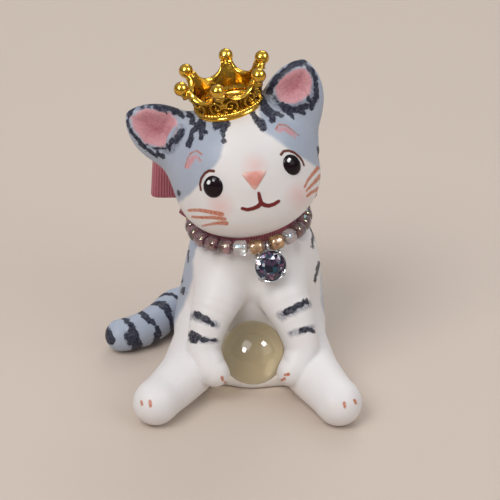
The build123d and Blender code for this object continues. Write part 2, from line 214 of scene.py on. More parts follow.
def torso_field(points):
    """Stacked ellipses, trimmed by the shoulders' cone, joined to the lap and the neck."""
    x, y, z = points[..., 0], points[..., 1], points[..., 2]
    level = np.clip(z, 0, 24)
    wide, deep = np.polyval(TORSO_WIDE, level), np.polyval(TORSO_DEEP, level)
    round_x = (x - np.polyval(TORSO_X, level)) / wide
    round_y = (y - np.polyval(TORSO_Y, level)) / deep
    column = (np.hypot(round_x, round_y) - 1) * deep
    radius, height, turn = in_neck_axes(points)
    shoulder = (height + 1.55 + 0.27 * (radius - NECK_RADIUS)) * 0.96
    column = smooth_cut(column, -shoulder, 1.1)
    aside = np.abs(turn - BAIL_TURN) - math.radians(36)
    hollow = 7.25 + 0.364 * (-1.2 - height) + 3.2 * ease(aside / 0.3)
    column = smooth_cut(column, hollow - radius, 0.5)
    lap_side = np.hypot((x - 0.4) / 7.6, (y + 5.5) / 5.8) - 1
    lap = smooth_cut(lap_side * 5.8, 3.6 - z, 1.6)
    body = smooth_join(column, lap, 2.4)
    neck = np.maximum(radius - NECK_RADIUS, height - 3.4)
    return smooth_join(body, neck, 0.5)


# %% Head field
HEAD_CENTRE = np.array([-0.34, -2.5, 32.75])
HEAD_ROLL, HEAD_PITCH = math.radians(14), math.radians(7)
HEAD_X = np.array([math.cos(HEAD_ROLL), 0, math.sin(HEAD_ROLL)])
HEAD_Z = np.array([
    -math.sin(HEAD_ROLL) * math.cos(HEAD_PITCH),
    math.sin(HEAD_PITCH),
    math.cos(HEAD_ROLL) * math.cos(HEAD_PITCH),
])
HEAD_Y = np.cross(HEAD_Z, HEAD_X)
HEAD_WIDE, HEAD_DEEP, HEAD_ABOVE, HEAD_BELOW = 11.3, 9.8, 12.9, 8.2
HEAD_POWER = 2.3


def head_field(points):
    """Super-ellipse of power 2.3 upwards and round sideways, a touch wider towards the top."""
    moved = points - HEAD_CENTRE
    x, y, z = moved @ HEAD_X, moved @ HEAD_Y, moved @ HEAD_Z
    level = np.where(z > 0, z / HEAD_ABOVE, z / HEAD_BELOW)
    wider = np.clip(level, -1, 1)
    across = np.hypot(x / (HEAD_WIDE * (1 + 0.06 * wider)), y / (HEAD_DEEP * (1 + 0.03 * wider)))
    size = (across ** HEAD_POWER + np.abs(level) ** HEAD_POWER) ** (1 / HEAD_POWER)
    return smooth_cut((size - 1) * 9.6, bead_groove_field(points), 0.3)


# %% [markdown]
# ## Rolls of clay: legs, arms and tail
# A maker rolls each limb between the fingers, thicker at one end, bends it and presses it on.
# Its field is the distance to a smooth line less the radius there; the line passes through a few
# listed points, given as x, y, z and radius.

# %% Roll fields
def smooth_line(stations, samples):
    """Catmull-Rom curve through the stations: four-point cubic between each pair."""
    p = np.array(stations, float)
    p = np.vstack([2 * p[0] - p[1], p, 2 * p[-1] - p[-2]])
    t = np.linspace(0, len(p) - 3 - 1e-9, samples)
    i = t.astype(int)
    f = (t - i)[:, None]
    a, b, c, d = p[i], p[i + 1], p[i + 2], p[i + 3]
    return 0.5 * (2 * b + (c - a) * f + (2 * a - 5 * b + 4 * c - d) * f ** 2
                  + (3 * b - a - 3 * c + d) * f ** 3)


def roll_field(stations, samples=22):
    """Least distance to the line's short straight runs, less the radius along each."""
    line = smooth_line(stations, samples)

    def field(points):
        nearest = np.full(points.shape[:-1], 1e9)
        for start, end in zip(line[:-1], line[1:]):
            run = end[:3] - start[:3]
            along = np.clip((points - start[:3]) @ run / (run @ run), 0, 1)
            away = np.linalg.norm(points - start[:3] - along[..., None] * run, axis=-1)
            nearest = np.minimum(nearest, away - start[3] - along * (end[3] - start[3]))
        return nearest

    return field


HIND_RIGHT = [(-5.4, -1.5, 5.2, 5.0), (-7.4, -6.5, 4.9, 5.0), (-10.0, -12.6, 4.1, 4.1),
              (-13.2, -17.6, 3.4, 3.5), (-14.5, -19.7, 3.1, 3.15)]
HIND_LEFT = [(5.4, -1.5, 5.2, 5.0), (7.4, -6.5, 4.9, 5.0), (9.8, -12.6, 4.1, 4.2),
             (12.5, -17.6, 3.5, 3.6), (13.6, -19.8, 3.2, 3.3)]
FORE_RIGHT = [(-3.4, -3.2, 18.6, 3.4), (-4.7, -7.2, 15.6, 3.9), (-6.3, -10.0, 12.0, 3.1),
              (-7.1, -12.0, 8.4, 2.6), (-6.1, -13.6, 6.0, 2.6), (-5.5, -14.0, 5.4, 2.5)]
FORE_LEFT = [(3.9, -3.0, 18.8, 3.4), (5.0, -7.2, 15.6, 3.9), (6.9, -10.0, 12.0, 3.2),
             (8.0, -12.0, 8.4, 2.7), (7.2, -13.6, 6.2, 2.65), (6.5, -14.0, 5.6, 2.5)]
TAIL = [(-3.5, 4.0, 4.4, 2.5), (-8.2, 9.4, 3.6, 2.6), (-12.3, 9.3, 3.1, 2.7),
        (-14.7, 5.4, 2.85, 2.8), (-17.2, 2.2, 2.85, 2.8), (-19.8, 0.7, 2.8, 2.7), (-20.9, 0.4, 2.75, 2.65)]
tail_steps = np.diff(smooth_line(TAIL, 50)[:, :3], axis=0)
print("roll of the tail is", round(float(np.linalg.norm(tail_steps, axis=1).sum()), 1), "mm")


# %% Rays from a line inside the clay
def unit(vectors):
    """Vectors over their own lengths."""
    return vectors / (np.linalg.norm(vectors, axis=-1, keepdims=True) + 1e-12)


def first_exit(origins, directions, field, reach, steps):
    """How far each ray goes before the field turns positive: even steps, then halving."""
    marks = np.linspace(0, reach, steps)
    near, far = np.zeros(len(origins)), np.full(len(origins), reach)
    going = np.ones(len(origins), bool)
    for before, mark in zip(marks[:-1], marks[1:]):
        out = field(origins[going] + directions[going] * mark) > 0
        index = np.flatnonzero(going)[out]
        near[index], far[index] = before, mark
        going[index] = False
    near[going] = reach
    for _ in range(9):
        middle = (near + far) / 2
        out = field(origins + directions * middle[:, None]) > 0
        far = np.where(out, middle, far)
        near = np.where(out, near, middle)
    return (near + far) / 2


def surface_normals(points, field, step=0.02):
    """Unit slope of the field at each point, from central differences."""
    slope = np.stack([
        field(points + np.eye(3)[axis] * step) - field(points - np.eye(3)[axis] * step)
        for axis in range(3)
    ], axis=-1)
    return unit(slope)


def skin(stations, field, rows, columns, root, tip, reach, side=(1, 0, 0), steps=22):
    """Surface round a line inside the clay: rays leave it squarely along its length and fan
    out like a dome at both ends. Also gives each ray's place along the line and its turn."""
    centre = smooth_line(stations, rows)[:, :3]
    tangent = unit(np.gradient(centre, axis=0))
    across = unit(np.cross(tangent, np.array(side, float)))
    upright = np.cross(tangent, across)
    travelled = np.concatenate([[0], np.cumsum(np.linalg.norm(np.diff(centre, axis=0), axis=1))])
    quarter = math.pi / 2 * 0.985
    lift = np.concatenate([
        np.linspace(-quarter, 0, root + 1)[:-1], np.zeros(rows), np.linspace(0, quarter, tip + 1)[1:]
    ])
    at = np.concatenate([np.zeros(root, int), np.arange(rows), np.full(tip, rows - 1)])
    turn = np.linspace(0, 2 * math.pi, columns, endpoint=False)
    ring = (across[at][:, None] * np.cos(turn)[None, :, None]
            + upright[at][:, None] * np.sin(turn)[None, :, None])
    rays = ring * np.cos(lift)[:, None, None] + tangent[at][:, None] * np.sin(lift)[:, None, None]
    origin = np.broadcast_to(centre[at][:, None], rays.shape)
    length = first_exit(origin.reshape(-1, 3), rays.reshape(-1, 3), field, reach, steps)
    length = length.reshape(rays.shape[:2])
    along = travelled[at][:, None] + np.sin(lift)[:, None] * length
    return origin + rays * length[..., None], along, np.broadcast_to(turn, length.shape)


def pressed(own, others, cap=1.2, hair=0.04):
    """Field of one clay piece where it is smoothed into others, given with their fillet widths.
    Under a neighbour its skin lies a hair lower, and it stops a little way in."""
    def field(points):
        mine = own(points)
        joined, sunk = mine, np.zeros(mine.shape)
        for other, k in others:
            width = k(points) if callable(k) else k
            theirs = other(points)
            joined = smooth_join(joined, theirs, width)
            sunk = np.maximum(sunk, hair * ease(0.5 + (mine - theirs) / (2 * width)))
        joined = smooth_cut(np.maximum(joined + sunk, mine - cap), points[..., 2], 0.7)
        return smooth_cut(joined, ball_field(points), 0.2)

    return field


# %% [markdown]
# ## Laying out the brushwork
# The painter works looking at the front of the cat, so the marks are planned on a flat chart
# that faces that way: s runs to the cat's left and t runs up, in millimetres, with the middle of
# the figure at (0, 0). Each mark is a line with a width at either end. What the mesh carries is
# the distance to the nearest mark; the material turns that into a crisp, slightly ragged edge.

# %% Chart and distances to marks
def chart(points):
    """Where the line from the painter's eye through each point meets the chart."""
    moved = points - view_eye
    depth = moved @ -view_back
    return VIEW_DISTANCE * moved[..., 0] / depth, VIEW_DISTANCE * (moved @ view_up) / depth


def mark_distance(s, t, marks):
    """Least distance to the marks' straight runs, less the half width along each."""
    nearest = np.full(s.shape, 5.0)
    for stations, wide_start, wide_end in marks:
        runs = max(len(stations) - 1, 1)
        widths = np.linspace(wide_start, wide_end, runs + 1) / 2
        if len(stations) == 1:
            nearest = np.minimum(nearest, np.hypot(s - stations[0][0], t - stations[0][1]) - widths[0])
            continue
        for (s0, t0), (s1, t1), w0, w1 in zip(stations[:-1], stations[1:], widths[:-1], widths[1:]):
            ds, dt = s1 - s0, t1 - t0
            along = np.clip(((s - s0) * ds + (t - t0) * dt) / (ds * ds + dt * dt), 0, 1)
            away = np.hypot(s - s0 - along * ds, t - t0 - along * dt)
            nearest = np.minimum(nearest, away - w0 - along * (w1 - w0))
    return nearest


def patch_distance(s, t, outline):
    """Signed distance to a closed outline, negative inside (even-odd crossings)."""
    ring = list(outline) + [outline[0]]
    edge = mark_distance(s, t, [(ring, 0, 0)])
    inside = np.zeros(s.shape, bool)
    for (s0, t0), (s1, t1) in zip(ring[:-1], ring[1:]):
        crosses = (t0 > t) != (t1 > t)
        rise = t1 - t0 if t1 != t0 else 1e-9
        inside ^= crosses & (s < s0 + (t - t0) / rise * (s1 - s0))
    return np.where(inside, -edge, edge)


# %% Marks on the head and ears
GREY_HEAD_RIGHT = [(-3.4, 26), (-3.8, 19.2), (-4.2, 16.3), (-4.4, 14.6), (-5.2, 13.2), (-6.6, 11.8),
                   (-8.2, 9.7), (-9.3, 8.6), (-10.7, 7.5), (-13, 6.2), (-40, 5), (-40, 30)]
GREY_HEAD_LEFT = [(1.2, 26), (1.6, 18.5), (3.3, 17.4), (4.9, 16.3), (6.6, 14.9), (8.2, 14.1),
                  (9.9, 13.0), (12, 11.6), (40, 10), (40, 40), (1.2, 40)]
PINK_EAR_RIGHT = [(-18.4, 20.5), (-15.9, 21.8), (-14.2, 21.4), (-12.1, 21.0), (-11.3, 20.1), (-11.4, 18.4),
                  (-11.9, 16.8), (-13.5, 15.8), (-14.8, 16.0), (-16.2, 16.5), (-17.3, 17.9), (-18.1, 19.2)]
PINK_EAR_LEFT = [(3.8, 24.8), (4.6, 26.2), (6.2, 27.4), (7.7, 28.0), (8.7, 27.9), (9.3, 26.8), (9.5, 25.4),
                 (9.1, 23.7), (8.0, 23.0), (6.7, 22.6), (5.4, 22.5), (4.4, 23.2)]
INK_HEAD = [
    ([(-9.3, 20.9), (-8.9, 20.2), (-8.8, 19.6)], 0.96, 1.08),
    ([(-7.7, 19.7), (-8.2, 18.9), (-8.9, 18.3), (-9.1, 17.3), (-9.5, 16.2)], 1.08, 0.84),
    ([(-7.2, 19.3), (-7.5, 18.2), (-7.5, 17.1)], 0.96, 0.60),
    ([(-7.3, 18.3), (-6.6, 18.0)], 0.84, 0.60),
    ([(-5.0, 19.3), (-3.6, 19.6), (-4.2, 18.4), (-4.1, 17.3)], 1.68, 0.60),
    ([(-4.0, 16.7)], 0.96, 0.96),
    ([(-10.6, 18.3), (-10.9, 17.5), (-11.3, 16.9)], 0.84, 1.20),
    ([(-11.8, 16.9), (-12.4, 15.7)], 0.84, 0.48),
    ([(1.7, 23.2), (2.2, 21.9), (3.0, 20.8), (3.4, 20.2)], 1.32, 1.08),
    ([(2.0, 22.6), (3.3, 21.4), (4.8, 20.7)], 0.60, 0.96),
    ([(0.5, 20.9), (1.2, 19.9), (1.8, 19.4), (2.0, 18.7)], 1.20, 0.96),
    ([(4.9, 22.3), (6.7, 21.5), (8.4, 21.1)], 0.96, 0.72),
    ([(5.4, 21.6), (6.3, 20.8), (6.8, 20.1)], 0.84, 0.48),
    ([(-11.0, 8.8), (-10.8, 8.4)], 0.60, 0.36),
    ([(10.5, 15.5), (10.8, 13.8)], 0.72, 0.48),
    ([(10.9, 17.4), (11.0, 16.2)], 0.60, 0.48),
]
INK_EARS = [
    ([(-18.8, 19.9), (-18.3, 21.6), (-17.0, 22.6), (-15.2, 22.7), (-13.0, 22.1), (-11.4, 21.5)], 0.5, 1.3),
    ([(-11.8, 21.6), (-10.8, 21.1), (-10.3, 20.3)], 1.2, 0.5),
    ([(-16.6, 22.0), (-15.4, 21.9)], 0.5, 0.3),
    ([(-14.6, 21.9), (-12.9, 21.2)], 0.7, 0.3),
    ([(-18.9, 19.7), (-17.9, 17.6), (-16.3, 15.9), (-14.4, 14.4)], 0.55, 0.7),
    ([(-16.0, 16.2), (-14.6, 15.6), (-12.9, 15.6)], 0.28, 0.34),
    ([(-14.2, 14.9), (-13.3, 14.2)], 0.9, 0.5),
    ([(-12.8, 16.3), (-12.3, 15.1)], 0.4, 0.3),
    ([(2.9, 24.5), (3.9, 26.2), (5.3, 27.6), (6.9, 28.6), (8.4, 28.9)], 1.0, 0.9),
    ([(3.3, 25.0), (4.5, 26.6)], 0.8, 0.5),
    ([(8.4, 28.8), (9.6, 27.4), (10.2, 25.6), (10.2, 23.6), (9.5, 21.9)], 0.7, 0.9),
    ([(3.4, 25.3), (3.3, 24.0), (4.1, 22.9)], 0.7, 0.4),
    ([(4.6, 22.2), (5.9, 21.8), (7.2, 21.8), (8.6, 22.0)], 0.5, 1.0),
    ([(9.0, 23.4), (9.6, 22.4)], 0.7, 0.4),
]
SMUDGE_EARS = [
    ([(-10.7, 18.6), (-11.3, 17.2), (-12.4, 15.6)], 1.6, 1.9),
    ([(-17.6, 22.1), (-12.0, 21.5)], 1.3, 1.6),
    ([(2.9, 23.4), (4.2, 22.4), (6.4, 21.7), (8.8, 22.4)], 1.3, 1.7),
    ([(3.6, 25.6), (6.4, 28.2)], 1.6, 1.3),
    ([(9.6, 27.0), (9.9, 23.2)], 1.2, 1.3),
]
WINE_LINES = [
    ([(1.35, 8.75), (1.5, 8.0), (1.7, 7.2)], 0.50, 0.74),
    ([(1.7, 7.2), (1.2, 6.7), (0.5, 6.4), (-0.4, 6.2), (-1.2, 6.4)], 0.74, 0.50),
    ([(1.7, 7.2), (2.3, 6.9), (2.9, 6.8), (3.7, 7.05), (4.4, 7.5)], 0.74, 0.54),
]
BROWN_LINES = [
    ([(-7.55, 9.2), (-7.7, 10.1), (-7.5, 11.0), (-6.95, 11.8), (-6.3, 12.2), (-5.6, 12.15)], 0.32, 0.46),
    ([(4.8, 14.7), (5.2, 15.2), (5.9, 15.3), (6.8, 15.0), (7.7, 14.2), (8.1, 13.6), (8.3, 13.0)], 0.46, 0.30),
]
PINK_BROWS = [([(-9.6, 12.9), (-9.0, 13.9), (-8.2, 14.4), (-7.8, 13.7)], 1.0, 0.6),
              ([(4.5, 18.5), (5.4, 18.6), (6.4, 17.9), (6.9, 17.5)], 1.0, 0.6)]
RUST_LINES = [
    ([(-9.4, 6.1), (-7.8, 6.15), (-6.4, 5.9), (-4.3, 5.5)], 0.44, 0.68),
    ([(-8.9, 5.1), (-7.2, 5.0), (-5.6, 5.0), (-3.9, 4.75)], 0.36, 0.60),
    ([(-7.4, 3.7), (-6.0, 4.0), (-4.8, 4.15), (-3.6, 4.1)], 0.23, 0.65),
    ([(8.4, 9.7), (8.9, 10.7), (9.6, 11.6), (10.4, 12.6)], 0.29, 0.60),
    ([(8.7, 9.1), (9.4, 9.9), (10.0, 10.5), (10.8, 11.4)], 0.31, 0.65),
    ([(8.8, 8.3), (9.5, 8.9), (10.0, 9.1), (10.6, 9.5)], 0.34, 0.60),
    ([(-10.0, 12.7), (-9.6, 14.1), (-9.1, 14.9), (-8.2, 15.3), (-7.4, 14.7)], 0.16, 0.26),
    ([(-7.9, 14.3), (-7.5, 13.7)], 0.16, 0.13),
    ([(4.0, 18.6), (4.4, 19.3), (5.5, 19.2), (6.6, 18.3), (7.5, 17.6)], 0.26, 0.16),
]
RUST_CLAWS = [([(-4.3, -19.6), (-4.2, -20.0)], 0.50, 0.40), ([(-3.8, -20.4), (-3.6, -20.7)], 0.44, 0.36),
              ([(5.9, -19.1), (5.4, -19.2)], 0.50, 0.40), ([(5.3, -19.8), (4.9, -20.0)], 0.44, 0.36),
              ([(-16.7, -23.3), (-16.6, -23.8)], 0.40, 0.36), ([(-15.4, -23.3), (-15.3, -24.0)], 0.56, 0.44),
              ([(14.5, -23.6), (14.6, -24.2)], 0.52, 0.40), ([(16.1, -23.1), (16.3, -23.6)], 0.44, 0.36)]

# %% Marks on the body
GREY_FLANK_RIGHT = [(-8.6, 3.5), (-8.8, 0.9), (-8.8, -4.2), (-9.7, -7.4), (-10.9, -9.9), (-12.0, -11.8),
                    (-40, -12.5), (-40, 3.5)]
GREY_FLANK_LEFT = [(10.4, 4), (10.9, 0), (10.9, -4), (11.0, -8.5), (11.8, -10.5), (40, -11), (40, 4)]
INK_BODY = [
    ([(-10.9, -3.2), (-10.7, -4.1), (-10.5, -4.9)], 0.5, 0.4),
    ([(-10.2, -6.0), (-10.3, -6.6)], 0.7, 0.6),
    ([(-12.1, -8.0), (-12.2, -10.4)], 0.6, 0.4),
    ([(-9.5, -0.2), (-9.5, -2.0)], 0.35, 0.2),
    ([(9.3, 3.7), (9.7, 2.0), (9.6, 0.5)], 0.3, 0.45),
    ([(10.6, -2.0), (10.2, -3.6), (10.0, -5.1)], 0.7, 0.25),
]
INK_ARMS = [
    ([(-8.3, -9.9), (-7.0, -10.6), (-5.8, -11.4)], 1.1, 0.8),
    ([(-8.6, -13.8), (-8.9, -13.1), (-7.3, -13.7)], 1.4, 1.0),
    ([(-6.8, -13.8), (-5.3, -13.9)], 0.5, 0.3),
    ([(5.6, -9.6), (6.9, -8.8), (8.7, -7.9)], 1.1, 0.9),
    ([(8.0, -12.3), (8.9, -12.2), (9.6, -12.5)], 1.1, 0.6),
]
SMUDGE_ARMS = [
    ([(-8.8, -10.2), (-5.0, -11.6)], 1.2, 0.9),
    ([(-8.9, -13.7), (-5.2, -14.0)], 1.0, 0.8),
    ([(4.9, -10.1), (9.2, -8.3)], 1.6, 1.1),
    ([(6.4, -12.9), (9.6, -11.9)], 1.0, 0.8),
]
print("marks:", sum(len(m) for m in (INK_HEAD, INK_EARS, WINE_LINES, RUST_LINES, INK_BODY, INK_ARMS)))

# %% [markdown]
# ## Node groups for paint
# Two effects are used on almost every piece of clay, so each is a group made once. One turns a
# distance to a mark into a mask with a brush's uneven edge; the other gives the faint mottling
# of hand-smoothed clay.

# %% Small helpers for nodes
def new_group(name, inputs, outputs):
    """Empty node group with named sockets; gives the group, its input and its output node."""
    group = bpy.data.node_groups.new(name, "ShaderNodeTree")
    for label, kind, value in inputs:
        socket = group.interface.new_socket(label, in_out="INPUT", socket_type=kind)
        if value is not None:
            socket.default_value = value
    for label, kind in outputs:
        group.interface.new_socket(label, in_out="OUTPUT", socket_type=kind)
    return group, group.nodes.new("NodeGroupInput"), group.nodes.new("NodeGroupOutput")


def add_math(tree, operation, first, second=None, third=None, clamp=False):
    """Math node fed with sockets or numbers; gives its output socket."""
    node = tree.nodes.new("ShaderNodeMath")
    node.operation = operation
    node.use_clamp = clamp
    for socket, value in zip(node.inputs, (first, second, third)):
        if isinstance(value, (int, float)):
            socket.default_value = value
        elif value is not None:
            tree.links.new(value, socket)
    return node.outputs[0]


def add_noise(tree, vector, scale, detail=2.0, roughness=0.5, distortion=0.0):
    """Noise of a size per metre; gives its value socket, around a half."""
    node = tree.nodes.new("ShaderNodeTexNoise")
    node.inputs["Scale"].default_value = scale
    node.inputs["Detail"].default_value = detail
    node.inputs["Roughness"].default_value = roughness
    node.inputs["Distortion"].default_value = distortion
    if vector is not None:
        tree.links.new(vector, node.inputs["Vector"])
    return node.outputs["Fac"]


def add_mix(tree, mask, first, second):
    """Colour that goes from first to second as the mask goes from 0 to 1."""
    node = tree.nodes.new("ShaderNodeMix")
    node.data_type = "RGBA"
    sockets = [s for s in node.inputs if s.enabled]
    for socket, value in zip(sockets, (mask, first, second)):
        if isinstance(value, (int, float)):
            socket.default_value = value
        elif isinstance(value, tuple):
            socket.default_value = value
        else:
            tree.links.new(value, socket)
    return next(s for s in node.outputs if s.enabled)


def srgb(red, green, blue):
    """Colour as a painter mixes it (0-255) turned into linear light."""
    channels = []
    for value in (red, green, blue):
        value /= 255
        channels.append(value / 12.92 if value <= 0.04045 else ((value + 0.055) / 1.055) ** 2.4)
    return tuple(channels) + (1.0,)


# %% Brush edge and clay mottling
def make_brush_edge():
    """Mask of a brush mark: 1 inside, 0 outside, where distance plus ragged noise is below 0."""
    group, source, result = new_group(
        "brush_edge",
        [("Vector", "NodeSocketVector", None), ("Distance", "NodeSocketFloat", 5.0),
         ("Ragged", "NodeSocketFloat", 0.2), ("Soft", "NodeSocketFloat", 0.06),
         ("Scale", "NodeSocketFloat", 1500.0)],
        [("Mask", "NodeSocketFloat")],
    )
    noise = group.nodes.new("ShaderNodeTexNoise")
    noise.inputs["Detail"].default_value = 3.0
    group.links.new(source.outputs["Vector"], noise.inputs["Vector"])
    group.links.new(source.outputs["Scale"], noise.inputs["Scale"])
    wobble = add_math(group, "SUBTRACT", noise.outputs["Fac"], 0.5)
    wobble = add_math(group, "MULTIPLY", wobble, source.outputs["Ragged"])
    edge = add_math(group, "ADD", source.outputs["Distance"], wobble)
    edge = add_math(group, "DIVIDE", edge, source.outputs["Soft"])
    edge = add_math(group, "MULTIPLY_ADD", edge, -0.5, 0.5, clamp=True)
    group.links.new(edge, result.inputs["Mask"])
    return group


def make_mottling():
    """Slow and fine noise added together, from 0 to 1, for colour, gloss and height."""
    group, source, result = new_group(
        "mottling",
        [("Vector", "NodeSocketVector", None), ("Slow", "NodeSocketFloat", 160.0),
         ("Fine", "NodeSocketFloat", 1800.0)],
        [("Slow", "NodeSocketFloat"), ("Fine", "NodeSocketFloat")],
    )
    for label, detail in (("Slow", 2.0), ("Fine", 4.0)):
        noise = group.nodes.new("ShaderNodeTexNoise")
        noise.inputs["Detail"].default_value = detail
        group.links.new(source.outputs["Vector"], noise.inputs["Vector"])
        group.links.new(source.outputs[label], noise.inputs["Scale"])
        group.links.new(noise.outputs["Fac"], result.inputs[label])
    return group


BRUSH_EDGE = make_brush_edge()
MOTTLING = make_mottling()


def new_material(name, **constants):
    """Material with one Principled shader; constants are set straight on its sockets."""
    material = bpy.data.materials.new(name)
    material.use_nodes = True
    tree = material.node_tree
    shader = tree.nodes["Principled BSDF"]
    for label, value in constants.items():
        shader.inputs[label.replace("_", " ")].default_value = value
    coordinates = tree.nodes.new("ShaderNodeTexCoord").outputs["Object"]
    return material, tree, shader, coordinates


def add_mottling(tree, coordinates, slow, fine):
    """The mottling group in a material; gives its slow and fine sockets."""
    node = tree.nodes.new("ShaderNodeGroup")
    node.node_tree = MOTTLING
    node.inputs["Slow"].default_value = slow
    node.inputs["Fine"].default_value = fine
    tree.links.new(coordinates, node.inputs["Vector"])
    return node.outputs["Slow"], node.outputs["Fine"]


def add_attribute(tree, label):
    """Number painted on the mesh's vertices."""
    node = tree.nodes.new("ShaderNodeAttribute")
    node.attribute_name = label
    return node.outputs["Fac"]


def add_brush(tree, coordinates, label, ragged, soft, scale=1500.0):
    """Mask of the marks whose distances the mesh carries under this label."""
    node = tree.nodes.new("ShaderNodeGroup")
    node.node_tree = BRUSH_EDGE
    node.inputs["Ragged"].default_value = ragged
    node.inputs["Soft"].default_value = soft
    node.inputs["Scale"].default_value = scale
    tree.links.new(coordinates, node.inputs["Vector"])
    tree.links.new(add_attribute(tree, label), node.inputs["Distance"])
    return node.outputs["Mask"]


def add_bump(tree, height, strength, distance, below=None):
    """Bump node of a real height in metres, on top of another bump if given."""
    node = tree.nodes.new("ShaderNodeBump")
    node.inputs["Strength"].default_value = strength
    node.inputs["Distance"].default_value = distance
    tree.links.new(height, node.inputs["Height"])
    if below is not None:
        tree.links.new(below, node.inputs["Normal"])
    return node.outputs["Normal"]


# %% [markdown]
# ## Painted clay
# The white clay is slightly translucent, so light bleeds a millimetre or so under the surface;
# that is the shader's subsurface part. Over it go washes of grey-blue, then pink, then ink, each
# with its own edge. Paint fills the clay's tooth, so it is a little glossier and stands a few
# hundredths of a millimetre proud.

# %% Painted clay material
PAINTS = ("blush", "grey", "smudge", "pink", "ink", "rust", "brown", "wine")


def make_painted_clay():
    """Layers of brush masks over white clay, from the widest wash to the finest line."""
    material, tree, shader, place = new_material(
        "painted_clay", Subsurface_Weight=0.12, Subsurface_Scale=0.0006, Specular_IOR_Level=0.14,
        Coat_Roughness=0.32,
    )
    shader.inputs["Subsurface Radius"].default_value = (1.0, 0.72, 0.55)
    slow, fine = add_mottling(tree, place, 170.0, 2400.0)
    colour = add_mix(tree, slow, srgb(240, 236, 235), srgb(233, 229, 228))
    blush = add_math(tree, "MULTIPLY", add_brush(tree, place, "blush", 0.9, 1.5, 500.0), 0.42)
    colour = add_mix(tree, blush, colour, srgb(238, 150, 140))
    grey_tone = add_mix(tree, fine, srgb(168, 177, 194), srgb(192, 199, 212))
    grey_tone = add_mix(tree, slow, grey_tone, srgb(172, 182, 199))
    grey = add_brush(tree, place, "grey", 0.5, 0.28, 700.0)
    colour = add_mix(tree, grey, colour, grey_tone)
    streaks = add_noise(tree, place, 2600.0, 3.0)
    thin = add_math(tree, "MULTIPLY_ADD", streaks, 1.6, -0.25, clamp=True)
    smudge = add_math(tree, "MULTIPLY", add_brush(tree, place, "smudge", 0.9, 0.25, 1300.0), thin)
    colour = add_mix(tree, smudge, colour, srgb(104, 109, 126))
    depth = add_math(tree, "MULTIPLY_ADD", add_attribute(tree, "pink"), -0.34, -0.05, clamp=True)
    brushed = add_noise(tree, place, 900.0, 4.0, 0.7, 2.5)
    deeper = add_math(tree, "MULTIPLY_ADD", brushed, 1.5, -0.75)
    deeper = add_math(tree, "ADD", depth, deeper, clamp=True)
    pink_tone = add_mix(tree, deeper, srgb(214, 158, 164), srgb(172, 98, 108))
    pink = add_brush(tree, place, "pink", 0.85, 0.22, 1100.0)
    colour = add_mix(tree, pink, colour, pink_tone)
    ink = add_brush(tree, place, "ink", 1.15, 0.10, 1250.0)
    ink_tone = add_mix(tree, streaks, srgb(13, 15, 32), srgb(42, 44, 66))
    cover = add_math(tree, "MULTIPLY_ADD", streaks, 0.5, 0.68, clamp=True)
    colour = add_mix(tree, add_math(tree, "MULTIPLY", ink, cover), colour, ink_tone)
    rust = add_brush(tree, place, "rust", 0.14, 0.09, 1800.0)
    faded = add_math(tree, "MULTIPLY_ADD", streaks, 0.9, 0.35, clamp=True)
    colour = add_mix(tree, add_math(tree, "MULTIPLY", rust, faded), colour, srgb(196, 96, 30))
    brown = add_brush(tree, place, "brown", 0.08, 0.07)
    colour = add_mix(tree, brown, colour, srgb(104, 46, 30))
    wine = add_brush(tree, place, "wine", 0.04, 0.06)
    colour = add_mix(tree, wine, colour, srgb(112, 0, 6))
    tree.links.new(colour, shader.inputs["Base Color"])
    paint = add_math(tree, "MAXIMUM", grey, ink)
    paint = add_math(tree, "MAXIMUM", paint, rust)
    rough = add_math(tree, "MULTIPLY_ADD", fine, 0.16, 0.40)
    rough = add_math(tree, "MULTIPLY_ADD", paint, -0.06, rough)
    rough = add_math(tree, "MULTIPLY_ADD", wine, -0.18, rough)
    tree.links.new(rough, shader.inputs["Roughness"])
    tree.links.new(add_math(tree, "MULTIPLY_ADD", wine, 0.7, 0.06), shader.inputs["Coat Weight"])
    proud = add_math(tree, "MULTIPLY_ADD", streaks, 0.4, 0.8)
    proud = add_math(tree, "MULTIPLY", add_math(tree, "MAXIMUM", ink, rust), proud)
    proud = add_math(tree, "MULTIPLY_ADD", grey, 0.35, proud)
    normal = add_bump(tree, proud, 0.55, 0.00005)
    normal = add_bump(tree, fine, 0.22, 0.00006, normal)
    normal = add_bump(tree, slow, 0.25, 0.0004, normal)
    tree.links.new(normal, shader.inputs["Normal"])
    return material


PAINTED_CLAY = make_painted_clay()


def paint_layers(points, facing, **marks):
    """Distances for every paint, 5 where a piece has none of it or the front can't see it."""
    layers = {label: np.full(len(points), 5.0) for label in PAINTS}
    for label, distance in marks.items():
        layers[label] = np.where(facing > -0.12, distance, np.maximum(distance, 0.6))
    return layers


def seen_from_front(points, normals):
    """Cosine of the angle between the surface and the painter's eye."""
    return np.einsum("ij,ij->i", normals, unit(view_eye - points))


def clay_piece(name, surface, field, node, marks):
    """One skin of clay with its brushwork: marks is a function of points, normals, s and t."""
    shell = grid_shell(surface)
    points = shell[0]
    normals = surface_normals(points, field)
    s, t = chart(points)
    facing = seen_from_front(points, normals)
    front, everywhere = marks(points, normals, s, t)
    layers = paint_layers(points, facing, **front)
    for label, distance in everywhere.items():
        layers[label] = np.minimum(layers[label], distance)
    return piece(name, [shell], "figure", PAINTED_CLAY, [node], layers)


# %% [markdown]
# ## Torso, legs and arms
# These were pressed together while soft. Hips and shoulders were smoothed over until they flow
# into the body; the forearms only rest on the thighs, so a crease stays there.

# %% Fields of the body
hind_right, hind_left = roll_field(HIND_RIGHT), roll_field(HIND_LEFT)
fore_right, fore_left = roll_field(FORE_RIGHT), roll_field(FORE_LEFT)
tail_field = roll_field(TAIL)


def foot_field(centre, radius):
    """Round pad at the end of a leg."""
    centre = np.array(centre)
    return lambda points: np.linalg.norm(points - centre, axis=-1) - radius


